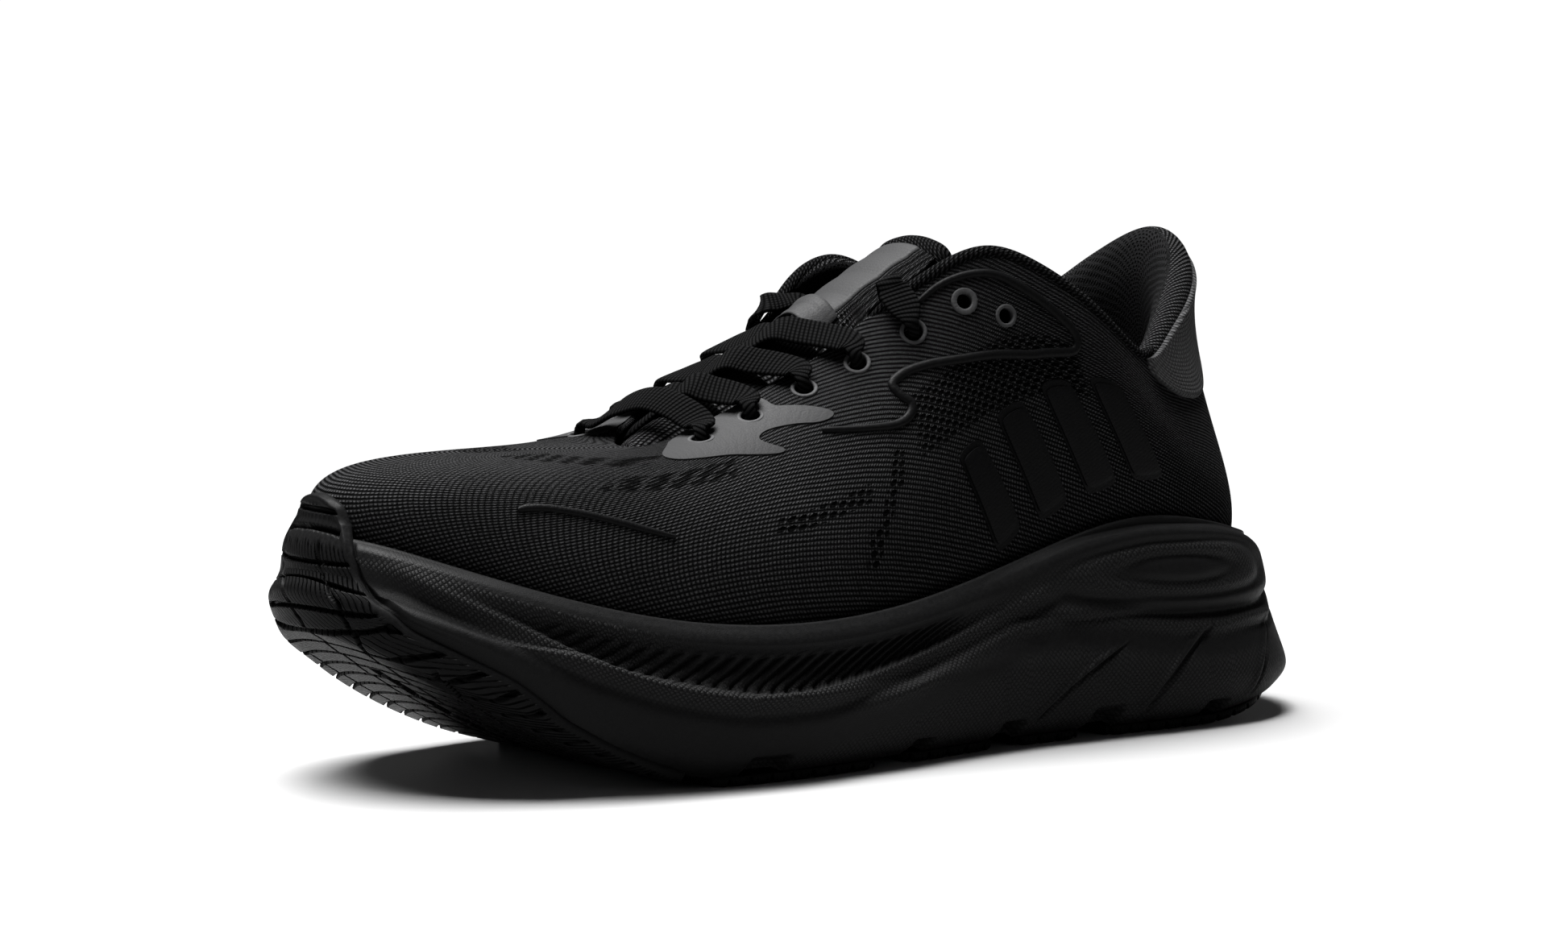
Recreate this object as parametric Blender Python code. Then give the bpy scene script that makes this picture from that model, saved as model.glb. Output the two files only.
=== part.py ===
"""Running shoe, left foot, built as separate pieces: foam midsole, rubber outsole pads, strobel board and
sockliner, knit upper in panels, heel counter, collar padding and lining, tongue, lace and overlays.

Frame: +Z up, the tread on z = 0, toe at -X, heel at +X, lateral (outer) side at -Y. Sizes in the functions are
millimetres and become metres when a mesh is made."""
import math

import bmesh
import bpy
import numpy as np
from mathutils import Vector

for old in list(bpy.data.objects):
    bpy.data.objects.remove(old, do_unlink=True)

# ---- driving dimensions, millimetres
LENGTH = 300.0
RUBBER = 2.3
GAP = 0.35
FLEX_X = -72.0
FLEX_Z = 34.0
FLEX_HALF = 11.0
TONGUE_X = 8.0
TONGUE_Z = 111.5
KNIT = 1.5
LACE_W = 6.6
LACE_T = 1.6
EYELET_R = 2.9

# ---- one lap round the shoe: t = 0 at the toe, 0..10 the lateral side, 10 the heel, 10..20 the medial side


def ring(knots):
    """Smooth closed curve through (t, values...) with a lap of 20."""
    k = np.array(knots, float)
    T, V = k[:, 0], k[:, 1:]
    n = len(T)
    h = np.diff(np.append(T, T[0] + 20.0))
    A = np.zeros((n, n))
    B = np.zeros_like(V)
    for i in range(n):
        a, b = h[i - 1], h[i]
        A[i, i - 1] += a / 6
        A[i, i] += (a + b) / 3
        A[i, (i + 1) % n] += b / 6
        B[i] = (V[(i + 1) % n] - V[i]) / b - (V[i] - V[i - 1]) / a
    M = np.linalg.solve(A, B)

    def f(t):
        t = (np.asarray(t, float) - T[0]) % 20.0 + T[0]
        i = np.clip(np.searchsorted(T, t, side="right") - 1, 0, n - 1)
        j = (i + 1) % n
        b = (t - T[i]) / h[i]
        a = 1 - b
        c = h[i] ** 2 / 6
        return a[..., None] * V[i] + b[..., None] * V[j] + ((a**3 - a) * c)[..., None] * M[i] + ((b**3 - b) * c)[..., None] * M[j]

    return f


def step(x, a, b):
    u = np.clip((np.asarray(x, float) - a) / (b - a), 0, 1)
    return u * u * (3 - 2 * u)


PLAN = ring([(0, -150, 8), (1, -141, -20), (2, -115, -41), (3, -80, -53), (4, -42, -57), (5, -2, -52), (6, 38, -46.5),
             (7, 78, -46.5), (8, 118, -43), (9, 142, -25), (10, 150, 0), (11, 142, 25), (12, 118, 43), (13, 78, 45),
             (14, 38, 40), (15, -2, 44), (16, -42, 55.3), (17, -80, 55.9), (18, -115, 50), (19, -141, 34)])
# rim height, rim inset, bulge height, inset and height of the shoulder under the rim
SOLE = ring([(0, 62, 3.0, 49, 3.0), (1, 59.5, 4.0, 45, 3.5), (2, 51, 4.5, 36, 3.5), (3, 42, 4.5, 27, 3.5), (4, 38.5, 4.5, 20, 3.5),
             (5, 40.5, 4.5, 20, 3.5), (6, 48.5, 5.0, 20, 3.5), (7, 56.8, 5.5, 17, 4.0), (8, 51.5, 8.5, 14.5, 6.0),
             (9, 48.5, 11.5, 13.5, 8.0), (10, 48.0, 12.5, 13.5, 8.5), (11, 49, 11.5, 13.5, 8.0), (12, 53, 8.5, 14.5, 6.0),
             (13, 57.5, 5.5, 17, 4.0), (14, 51, 5.0, 20, 3.5), (15, 43.5, 4.5, 20, 3.5), (16, 40, 4.5, 20, 3.5),
             (17, 43, 4.5, 25, 3.5), (18, 51, 4.5, 34, 3.5), (19, 59, 4.0, 43, 3.5)])
# top line and throat edge of the upper
TOP = ring([(0, -57, -2.5, 79.5), (1, -56, -6, 80), (2, -51, -9.5, 82), (3, -40, -11.5, 86.5), (4, -22, -13, 95),
            (4.6, -8, -14.5, 102), (5.2, 5, -18, 111.5), (5.8, 19, -25.5, 122.5), (6.3, 33, -31, 128), (6.7, 46, -34, 124),
            (7.1, 61, -36, 115), (7.5, 75, -35.5, 104.5), (7.8, 84, -33.5, 100), (8.2, 94, -30.5, 105.5),
            (8.7, 106, -24.5, 113), (9.3, 117.5, -15, 121), (10, 124, 0, 128.5), (10.7, 119.5, 15, 126.5),
            (11.3, 108, 25, 118.5), (11.9, 93, 31, 109.5), (12.4, 78, 34, 106), (12.9, 62, 35, 111), (13.4, 45, 34, 119),
            (13.8, 30, 31.5, 124), (14.2, 16, 27.5, 121), (14.8, 2, 22, 111), (15.4, -12, 19, 102), (16, -26, 18, 95),
            (17, -43, 15, 87), (18, -53, 11, 82), (19, -57, 5, 79.7)])
# Bezier handles of the upper: rise and lean at the rim, reach and drop at the top line
BULGE = ring([(0, 21, 5.5, 62, 0.0), (1, 21, 5.0, 56, 2.0), (2, 18, 3.0, 38, 3.0), (3, 22, 2.5, 26, 5.0), (4, 24, 2.0, 21, 8.0),
              (5, 26, 2.0, 18, 12.0), (6, 30, 2.0, 9, 22.0), (7, 18, 3.0, 5, 18.0), (8, 18, 3.0, 2, 18.0), (9, 22, 3.0, -5, 20.0),
              (10, 25, 3.0, -7, 21.0), (11, 22, 3.0, -4, 20.0), (12, 18, 3.0, 2, 18.0), (13, 20, 3.0, 5, 18.0),
              (14, 28, 2.0, 9, 22.0), (15, 25, 2.0, 18, 12.0), (16, 24, 2.0, 22, 8.0), (17, 21, 2.5, 28, 4.5),
              (18, 18, 3.0, 40, 2.5), (19, 21, 5.0, 56, 1.0)])


def ground(x):
    """Height of the tread over the floor: toe spring, flat, heel bevel."""
    x = np.asarray(x, float)
    return 42 * np.clip((-66 - x) / 84, 0, None) ** 1.45 + 9 * np.clip((x - 97) / 48, 0, None) ** 2


def footbed(x):
    """Height of the foam under the foot."""
    x = np.asarray(x, float)
    return 27 + 9 * step(x, -40, 100) + 24 * np.clip((-52 - x) / 98, 0, None) ** 1.35


def plan(t, inset):
    """Point of the outline moved inwards."""
    t = np.asarray(t, float)
    p = PLAN(t)
    d = PLAN(t + 0.01) - PLAN(t - 0.01)
    n = np.stack([d[..., 1], -d[..., 0]], -1)
    n /= np.linalg.norm(n, axis=-1, keepdims=True)
    return p + n * -np.asarray(inset, float)[..., None]


def toe(t):
    d = (np.asarray(t, float) + 10) % 20 - 10
    return np.exp(-((d / 1.7) ** 4))




def wall_rows(t):
    """Rows of the foam sidewall from the bottom edge over the rim and down to the footbed: (inset, height)."""
    rz, ri, bz, si = np.moveaxis(SOLE(t), -1, 0)
    tr = RUBBER * toe(t)
    e = plan(t, 7.0 + tr)
    z0 = ground(e[..., 0]) + RUBBER + GAP
    z0 = np.minimum(z0, bz - 3)
    fb = footbed(plan(t, ri + 5)[..., 0])
    rows = [(7.0 + tr, z0), (2.6 + tr, z0 + 0.25 * (bz - z0)), (0.0 + tr, bz), (0.55 * si + tr, bz + 0.45 * (rz - 9 - bz)),
            (si + tr, rz - 9), (ri + tr, rz - 3.2), (ri + tr + 1.3, rz), (ri + tr + 3.0, rz - 0.4), (ri + tr + 3.6, rz - 4),
            (ri + tr + 4.2, np.minimum(fb, rz - 6))]
    return rows


def upper(t, s):
    """Outer face of the knit: s = 0 at the footbed inside the rim, 0.12 at the rim, 1 at the top line."""
    t, s = np.broadcast_arrays(np.asarray(t, float), np.asarray(s, float))
    rz, ri, bz, si = np.moveaxis(SOLE(t), -1, 0)
    up, out, reach, drop = np.moveaxis(BULGE(t), -1, 0)
    i0 = ri + RUBBER * toe(t) + 4.6
    a2 = plan(t, i0)
    b2 = plan(t, i0 - 1)
    n = b2 - a2
    P0 = np.concatenate([a2, (rz - 0.5)[..., None]], -1)
    P1 = P0 + np.concatenate([n * out[..., None], up[..., None]], -1)
    P3 = TOP(t)
    # outward direction at the top: blend of the outline's normal
    P2 = P3 + np.concatenate([n * reach[..., None], -drop[..., None]], -1)
    base = np.concatenate([a2, (footbed(a2[..., 0]) + GAP)[..., None]], -1)
    v = np.clip((s - 0.12) / 0.88, 0, 1)[..., None]
    bez = (1 - v) ** 3 * P0 + 3 * (1 - v) ** 2 * v * P1 + 3 * (1 - v) * v**2 * P2 + v**3 * P3
    w = np.clip(s / 0.12, 0, 1)[..., None]
    low = base + (P0 - base) * w
    return np.where((s < 0.12)[..., None], low, bez)


def normals(f, t, s, e=0.004):
    """Outward unit normal of a surface f(t, s)."""
    dt = f(t + e, s) - f(t - e, s)
    ds = f(t, np.clip(s + e, 0, 1)) - f(t, np.clip(s - e, 0, 1))
    n = np.cross(dt, ds)
    l = np.linalg.norm(n, axis=-1, keepdims=True)
    return n / np.maximum(l, 1e-9)


def skin(t, s, d):
    """Upper's outer face moved along its normal by d."""
    t, s = np.broadcast_arrays(np.asarray(t, float), np.asarray(s, float))
    return upper(t, s) + normals(upper, t, s) * np.asarray(d, float)[..., None]

# ---- making solids


def material(name, colour, roughness, metallic=0.0):
    m = bpy.data.materials.new(name)
    m.use_nodes = True
    b = m.node_tree.nodes["Principled BSDF"]
    b.inputs["Base Color"].default_value = (*colour, 1.0)
    b.inputs["Roughness"].default_value = roughness
    b.inputs["Metallic"].default_value = metallic
    return m


KNIT_BLACK = material("knit_black", (0.012, 0.012, 0.013), 0.9)
FOAM_BLACK = material("foam_black", (0.02, 0.02, 0.021), 0.7)
RUBBER_BLACK = material("rubber_black", (0.01, 0.01, 0.01), 0.5)
FILM_GREY = material("film_grey", (0.09, 0.09, 0.092), 0.45)
LINING_BLACK = material("lining_black", (0.014, 0.014, 0.015), 0.95)
PLASTIC_BLACK = material("plastic_black", (0.02, 0.02, 0.02), 0.4)

root = bpy.data.objects.new("rearfoot", None)
bpy.context.scene.collection.objects.link(root)
forefoot = bpy.data.objects.new("forefoot", None)
forefoot.location = (FLEX_X / 1000, 0, FLEX_Z / 1000)
bpy.context.scene.collection.objects.link(forefoot)
tongue_pivot = bpy.data.objects.new("tongue_top_pivot", None)
tongue_pivot.location = (TONGUE_X / 1000, 0, TONGUE_Z / 1000)
bpy.context.scene.collection.objects.link(tongue_pivot)


def put(name, bm, mat, parent=None):
    bmesh.ops.recalc_face_normals(bm, faces=bm.faces)
    parent = parent or root
    o = Vector(parent.location)
    for v in bm.verts:
        v.co = v.co / 1000 - o
    if bm.calc_volume(signed=True) < 0:
        bmesh.ops.reverse_faces(bm, faces=bm.faces)
    me = bpy.data.meshes.new(name)
    bm.to_mesh(me)
    bm.free()
    me.materials.append(mat)
    ob = bpy.data.objects.new(name, me)
    bpy.context.scene.collection.objects.link(ob)
    ob.parent = parent
    return ob


def weld(bm, d=1e-4):
    bmesh.ops.remove_doubles(bm, verts=bm.verts, dist=d)
    bmesh.ops.dissolve_degenerate(bm, edges=bm.edges, dist=1e-5)


def grid_faces(bm, g, flip=False):
    """g: rows of BMVerts."""
    for i in range(len(g) - 1):
        for j in range(len(g[0]) - 1):
            q = [g[i][j], g[i + 1][j], g[i + 1][j + 1], g[i][j + 1]]
            bm.faces.new(q[::-1] if flip else q)


def verts(bm, p):
    p = np.asarray(p, float)
    return [[bm.verts.new(tuple(p[i, j])) for j in range(p.shape[1])] for i in range(p.shape[0])]


def slab(outer, inner, folded=False):
    """Closed solid between two matching grids of points; folded: the first column meets itself at the middle line."""
    bm = bmesh.new()
    a, b = verts(bm, outer), verts(bm, inner)
    grid_faces(bm, a)
    grid_faces(bm, b, True)
    n, m = len(a), len(a[0])
    for i in range(n - 1):
        if not folded:
            bm.faces.new([a[i][0], b[i][0], b[i + 1][0], a[i + 1][0]])
        bm.faces.new([a[i][m - 1], a[i + 1][m - 1], b[i + 1][m - 1], b[i][m - 1]])
    for j in range(m - 1):
        bm.faces.new([a[0][j], a[0][j + 1], b[0][j + 1], b[0][j]])
        bm.faces.new([a[n - 1][j], b[n - 1][j], b[n - 1][j + 1], a[n - 1][j + 1]])
    weld(bm)
    return bm


def clip(bm, point, normal):
    """Keeps what lies behind the plane and closes the cut."""
    geom = list(bm.verts) + list(bm.edges) + list(bm.faces)
    cut = bmesh.ops.bisect_plane(bm, geom=geom, dist=1e-5, plane_co=point, plane_no=normal, clear_outer=True)
    edges = [e for e in bm.edges if e.is_boundary]
    if edges:
        bmesh.ops.triangle_fill(bm, use_beauty=True, edges=edges, normal=normal)
    weld(bm)
    return bm


HALF = math.radians(FLEX_HALF)


def front_part(bm, play=0.2):
    clip(bm, (FLEX_X - play, 0, 0), (1, 0, 0))
    return clip(bm, (FLEX_X - play, 0, FLEX_Z), (math.cos(HALF), 0, math.sin(HALF)))


def rear_part(bm, play=0.2):
    clip(bm, (FLEX_X + play, 0, 0), (-1, 0, 0))
    return clip(bm, (FLEX_X + play, 0, FLEX_Z), (-math.cos(HALF), 0, math.sin(HALF)))


def between_part(bm, play=-0.15):
    clip(bm, (FLEX_X + play, 0, FLEX_Z), (-math.cos(HALF) * -1, 0, -math.sin(HALF)))
    return clip(bm, (FLEX_X - play, 0, FLEX_Z), (-math.cos(HALF), 0, -math.sin(HALF)))


def patch(t, s, outer, inner, surf=None):
    """Layer of the upper over a range of t and s; outer and inner are offsets, numbers or functions of t and s."""
    T, Q = np.meshgrid(np.asarray(t, float), np.asarray(s, float), indexing="ij")
    f = surf or skin
    val = lambda d: d(T, Q) if callable(d) else np.full(T.shape, float(d))
    return slab(f(T, Q, val(outer)), f(T, Q, val(inner)))


def closed_ring(profile, cols, bottom, top, rows):
    """Body with a closed outline: profile(t) gives its side rows, bottom and top the heights of its two faces."""
    bm = bmesh.new()
    t = np.linspace(0, 20, cols, endpoint=False)
    pts = profile(t)
    g = verts(bm, pts)
    ring_g = g + [g[0]]
    grid_faces(bm, ring_g)
    half = cols // 2
    for k, z in ((0, bottom), (-1, top)):
        strip = []
        for i in range(half + 1):
            a, b = g[i][k], g[(cols - i) % cols][k]
            if a is b:
                strip.append([a] * (rows + 1))
                continue
            line = [a]
            for j in range(1, rows):
                p = a.co.lerp(b.co, j / rows)
                lin = p.z
                w = min(1.0, 2.5 * min(j, rows - j) / rows)
                p.z = lin + (float(z(p.x, p.y)) - lin) * w
                line.append(bm.verts.new(p))
            line.append(b)
            strip.append(line)
        for i in range(half):
            for j in range(rows):
                q = []
                for v in (strip[i][j], strip[i + 1][j], strip[i + 1][j + 1], strip[i][j + 1]):
                    if v not in q:
                        q.append(v)
                if len(q) > 2:
                    bm.faces.new(q if k else q[::-1])
    weld(bm)
    return bm


def smooth(ob):
    ob.data.shade_smooth()
    ob.data.set_sharp_from_angle(angle=math.radians(40))
    return ob


# ---- foam midsole: one moulding, parted at the toe-flex line so that it can bend


def midsole_profile(t):
    rows = wall_rows(t)
    out = []
    for i, z in rows:
        p = plan(t, i)
        out.append(np.concatenate([p, np.broadcast_to(z, t.shape)[..., None]], -1))
    return np.stack(out, 1)


def foam_bottom(x, y):
    return float(ground(x)) + RUBBER + GAP


def foam_top(x, y):
    return float(footbed(x))


for name, part, parent in (("midsole_front", front_part, forefoot), ("midsole_rear", rear_part, root)):
    bm = closed_ring(midsole_profile, 64, foam_bottom, foam_top, 4)
    smooth(put(name, part(bm), FOAM_BLACK, parent))

# ---- strobel board and sockliner on the footbed


def plate_profile(inset, low, high):
    def f(t):
        rz, ri, bz, si = np.moveaxis(SOLE(t), -1, 0)
        p = plan(t, ri + RUBBER * toe(t) + inset)
        z = footbed(p[..., 0])
        lo = np.concatenate([p, (z + low)[..., None]], -1)
        hi = np.concatenate([p, (z + high)[..., None]], -1)
        return np.stack([lo, hi], 1)

    return f


for name, inset, low, high, mat in (("strobel_board", 7.4, GAP, 1.55, LINING_BLACK), ("sockliner", 8.2, 1.9, 6.2, LINING_BLACK)):
    for tail, part, parent in (("front", front_part, forefoot), ("rear", rear_part, root)):
        bm = closed_ring(plate_profile(inset, low, high), 40, lambda x, y, a=low: float(footbed(x)) + a,
                         lambda x, y, a=high: float(footbed(x)) + a, 2)
        put(f"{name}_{tail}", part(bm), mat, parent)

# ---- rubber: the toe piece wraps from the tread up over the toe


def toe_outer(t, w, d):
    """Toe rubber surface: w = -1 at the middle of the tread, 0 at its edge, 1 at the rim, 1.4 on the knit."""
    rows = wall_rows(t)
    pts = [np.concatenate([plan(t, i), z[..., None]], -1) for i, z in rows[:6]]
    mirror = wall_rows(-t)
    edge, other = pts[0], np.concatenate([plan(-t, mirror[0][0]), mirror[0][1][..., None]], -1)
    mid = (edge + other) / 2
    mid[..., 2] = ground(mid[..., 0]) + RUBBER + GAP
    knots = [mid] + pts
    kw = [-1, 0, 0.25, 0.5, 0.68, 0.85, 1.0]
    up = [skin(t, np.full(t.shape, s), np.full(t.shape, 0.0)) for s in (0.17, 0.24, 0.30)]
    knots += up
    kw += [1.12, 1.26, 1.4]
    K = np.stack(knots, 0)
    w = np.clip(w, -1, 1.4)
    i = np.clip(np.searchsorted(kw, w, side="right") - 1, 0, len(kw) - 2)
    kw = np.array(kw)
    u = (w - kw[i]) / (kw[i + 1] - kw[i])
    idx = np.indices(t.shape)
    a = K[(i, *idx)]
    b = K[(i + 1, *idx)]
    return a + (b - a) * u[..., None]


def toe_top(t):
    """How far up the rubber reaches round the toe."""
    a = np.abs(t)
    return np.interp(a, [0, 0.55, 0.85, 1.0, 1.3, 1.7, 2.2, 3.15], [1.4, 1.36, 1.15, 0.95, 0.55, 0.3, 0.12, 0.02])


tt = np.arange(-10, 11) * (20 / 64)
T, J = np.meshgrid(tt, np.array([-1, -0.75, -0.5, -0.25, 0, 0.25, 0.5, 0.68, 0.85, 1.0, 1.12, 1.26, 1.4]), indexing="ij")
W = np.minimum(J, toe_top(T))
mid_surface = toe_outer(T, W, 0)
e = 0.02
dT = toe_outer(T + e, W, 0) - toe_outer(T - e, W, 0)
dW = toe_outer(T, np.minimum(W + e, 1.4), 0) - toe_outer(T, np.maximum(W - e, -1), 0)
N = np.cross(dT, dW)
N /= np.maximum(np.linalg.norm(N, axis=-1, keepdims=True), 1e-9)
slope = (ground(mid_surface[..., 0] + 0.5) - ground(mid_surface[..., 0] - 0.5))
down = np.stack([slope, 0 * slope, -np.ones_like(slope)], -1)
down /= np.linalg.norm(down, axis=-1, keepdims=True)
k = np.clip(-W * 2.0 + 0.4, 0, 1)[..., None]
N = N * (1 - k) + down * k
N /= np.linalg.norm(N, axis=-1, keepdims=True)
lift = np.where(W > 1.0, 0.85, 1.35)[..., None]
outer = mid_surface + N * (RUBBER + 0.02)
inner = mid_surface + N * lift
outer[..., 2] = np.maximum(outer[..., 2], 0.0)
put("toe_outsole", front_part(slab(outer, inner, True), 1.0), RUBBER_BLACK, forefoot)


def pad(name, x0, x1, side, reach, parent=root, inset=6.0, nx=6):
    """Flat rubber pad between the sole's edge and a line reach from the middle."""
    xs = np.linspace(x0, x1, nx)
    ts = np.linspace(0.3, 9.9, 200) if side < 0 else np.linspace(19.7, 10.1, 200)
    edge = plan(ts, inset)
    order = np.argsort(edge[:, 0])
    ye = np.interp(xs, edge[order, 0], edge[order, 1])
    mid = 1.5 + 0 * xs
    y1 = ye + (mid - ye) * reach
    P = np.zeros((nx, 3, 3))
    for j, f in enumerate((0, 0.5, 1)):
        P[:, j, 0] = xs
        P[:, j, 1] = ye + (y1 - ye) * f
    z = ground(xs)[:, None] * np.ones((1, 3))
    lo = P.copy()
    lo[..., 2] = z
    hi = P.copy()
    hi[..., 2] = z + RUBBER
    return put(name, slab(lo, hi), RUBBER_BLACK, parent)


pad("outsole_ball_lateral", -66, -14, -1, 0.55)
pad("outsole_ball_medial", -66, -14, 1, 0.55)
pad("outsole_mid_lateral", -4, 28, -1, 0.5, nx=4)
pad("outsole_mid_medial", -4, 22, 1, 0.4, nx=4)
pad("outsole_heel_lateral", 66, 140, -1, 0.72, nx=8)
pad("outsole_heel_medial", 60, 140, 1, 0.72, nx=8)
pad("outsole_arch_lateral", 36, 58, -1, 0.45, nx=3)

# ---- knit upper: toe, flex band, two quarters and heel

S_ALL = [0.0, 0.12, 0.17, 0.26, 0.38, 0.5, 0.62, 0.74, 0.86, 0.93, 1.0]
S_HEEL = [0.0, 0.12, 0.17, 0.26, 0.38, 0.5, 0.62, 0.7, 0.78, 0.86, 0.93, 1.0]
VAMP = [-3.7, -3.2, -2.6, -2, -1.4, -0.8, 0, 0.8, 1.4, 2, 2.6, 3.2, 3.7]
smooth(put("knit_toe_box", front_part(patch(VAMP, S_ALL, 0, -KNIT)), KNIT_BLACK, forefoot))
smooth(put("knit_flex_band", between_part(patch(VAMP, S_ALL, 0, -KNIT)), KNIT_BLACK))
BAND_HOLE = 0.01
lat = [0.02, 1.2, 2.0, 2.45, 2.9, 3.35, 3.8, 4.25, 4.7, 5.15, 5.6, 6.05, 6.5, 6.9, 7.3, 7.6, 7.9, 8.3]
med = [20 - v for v in lat][::-1]
heel = [8.34, 8.6, 8.9, 9.2, 9.6, 10.0, 10.4, 10.8, 11.1, 11.4, 11.66]
EYES_L = [(2.62, 0.888), (3.49, 0.894), (4.20, 0.899), (4.81, 0.878), (5.46, 0.858), (5.98, 0.861), (6.30, 0.783)]
EYES_M = [(17.9, 0.9), (17.0, 0.893), (16.2, 0.895), (15.55, 0.885), (14.9, 0.885), (14.26, 0.885), (13.94, 0.817)]


def frame_at(t, s):
    """Point on the upper, its normal, and the direction towards the throat."""
    t, s = np.array([t]), np.array([s])
    p = upper(t, s)[0]
    n = normals(upper, t, s)[0]
    a = (upper(t, s + 0.01) - upper(t, s - 0.01))[0]
    a -= n * (a @ n)
    return p, n, a / np.linalg.norm(a)


def eyelet_cutter(name, eyes):
    bm = bmesh.new()
    for t, s in eyes:
        p, n, a = frame_at(t, s)
        b = np.cross(n, a)
        lo, hi = [], []
        for k in range(8):
            w = math.tau * (k + 0.5) / 8
            d = (a * math.cos(w) + b * math.sin(w)) * EYELET_R
            lo.append(bm.verts.new(tuple(p + d - n * 2.6)))
            hi.append(bm.verts.new(tuple(p + d + n * 2.6)))
        bm.faces.new(lo[::-1])
        bm.faces.new(hi)
        for k in range(8):
            bm.faces.new([lo[k], lo[(k + 1) % 8], hi[(k + 1) % 8], hi[k]])
    ob = put(name, bm, PLASTIC_BLACK)
    ob.hide_render = True
    ob.display_type = "WIRE"
    return ob


holes_l = eyelet_cutter("eyelet_cutter_lateral", EYES_L)
holes_m = eyelet_cutter("eyelet_cutter_medial", EYES_M)


def pierce(ob, cutter):
    m = ob.modifiers.new("eyelets", "BOOLEAN")
    m.operation = "DIFFERENCE"
    m.solver = "EXACT"
    m.object = cutter
    return ob


pierce(smooth(put("knit_quarter_lateral", rear_part(patch(lat, S_ALL, 0, -KNIT)), KNIT_BLACK)), holes_l)
pierce(smooth(put("knit_quarter_medial", rear_part(patch(med, S_ALL, 0, -KNIT)), KNIT_BLACK)), holes_m)
smooth(put("knit_heel", patch(heel, S_HEEL, 0, -KNIT), KNIT_BLACK))

# ---- stiffeners, padding and lining


def lining_depth(t, s):
    heel = step(t, 7.9, 8.9) * (1 - step(t, 11.1, 12.1))
    low = step(s, 0.3, 0.62)
    return 3.6 + (2.6 + 3.4 * heel) * low * (1 - 0.25 * step(s, 0.85, 1.0))


smooth(put("toe_puff", patch([-1.4, -0.8, 0, 0.8, 1.4], [0.17, 0.26, 0.38, 0.5], -KNIT - 0.5, -KNIT - 1.3), PLASTIC_BLACK, forefoot))
smooth(put("heel_counter", patch([7.9, 8.3] + heel[1:-1] + [11.7, 12.1], [0.14, 0.17, 0.26, 0.38, 0.5, 0.58], -KNIT - GAP, -KNIT - GAP - 1.2), PLASTIC_BLACK))
COLLAR = [5.6, 6.05, 6.5, 6.9, 7.3, 7.6, 7.88]
COLLAR_M = [20 - v for v in COLLAR][::-1]
HEEL_T = [7.92, 8.3] + heel[1:-1] + [11.7, 12.08]
for name, ts, ss in (("collar_foam_lateral", COLLAR[2:], [0.5, 0.62, 0.74, 0.86, 0.93, 0.975]),
                     ("collar_foam_medial", COLLAR_M[:-2], [0.5, 0.62, 0.74, 0.86, 0.93, 0.975]),
                     ("collar_foam_heel", HEEL_T, [0.62, 0.7, 0.78, 0.86, 0.93, 0.975])):
    smooth(put(name, patch(ts, ss, -KNIT - GAP, lambda t, s: -lining_depth(t, s) + 0.45), FOAM_BLACK))
smooth(put("collar_lining", patch(COLLAR[:-1] + [7.9, 8.3] + heel[1:-1] + [11.7, 12.1] + COLLAR_M[1:],
           [0.17, 0.26, 0.38, 0.5, 0.62, 0.7, 0.78, 0.86, 0.93, 0.975],
           lambda t, s: -lining_depth(t, s), lambda t, s: -lining_depth(t, s) - 0.9), LINING_BLACK))

# ---- overlays on the outside


def strip(points, width, thick, surf=skin, lift=0.45, n=24):
    """Narrow raised line on the upper through (t, s) points."""
    p = np.array(points, float)
    k = np.linspace(0, len(p) - 1, n)
    i = np.clip(k.astype(int), 0, len(p) - 2)
    u = (k - i)[:, None]
    prev, nxt = p[np.maximum(i - 1, 0)], p[np.minimum(i + 2, len(p) - 1)]
    a, b = p[i], p[i + 1]
    c = 0.5 * (2 * a + (b - prev) * u + (2 * prev - 5 * a + 4 * b - nxt) * u**2 + (3 * a - prev - 3 * b + nxt) * u**3)
    P = surf(c[:, 0], c[:, 1], np.zeros(n))
    N = normals(upper, c[:, 0], c[:, 1])
    D = np.gradient(P, axis=0)
    side = np.cross(N, D)
    side /= np.linalg.norm(side, axis=-1, keepdims=True)
    lo = np.stack([P + side * w + N * lift for w in (-width / 2, 0, width / 2)], 1)
    hi = np.stack([P + side * w + N * (lift + thick) for w in (-width / 2 * 0.8, 0, width / 2 * 0.8)], 1)
    return slab(hi, lo)


QUARTER_LINE = [(5.61, 0.935), (5.85, 0.95), (6.24, 0.92), (6.5, 0.885), (6.75, 0.845), (6.93, 0.79), (6.8, 0.7), (6.31, 0.67),
                (5.87, 0.7), (5.4, 0.745), (5.08, 0.755), (5.14, 0.7), (5.25, 0.645), (5.08, 0.62), (4.7, 0.66), (4.22, 0.71)]
put("quarter_line_lateral", strip(QUARTER_LINE, 2.4, 0.8, n=46), FILM_GREY)
put("quarter_line_medial", strip([(20 - t, s) for t, s in QUARTER_LINE][::-1], 2.4, 0.8, n=46), FILM_GREY)


def blob(name, t, s_low, s_high, cutter=None, lift=0.45, thick=0.5):
    """Film patch whose lower and upper edges follow two rows of s."""
    rows = [np.asarray(s_low) + (np.asarray(s_high) - np.asarray(s_low)) * f for f in (0, 0.33, 0.66, 1)]
    T = np.repeat(np.asarray(t, float)[:, None], 4, 1)
    Q = np.stack(rows, 1)
    ob = put(name, slab(skin(T, Q, np.full(T.shape, lift + thick)), skin(T, Q, np.full(T.shape, lift))), FILM_GREY)
    return pierce(ob, cutter) if cutter else ob


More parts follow.
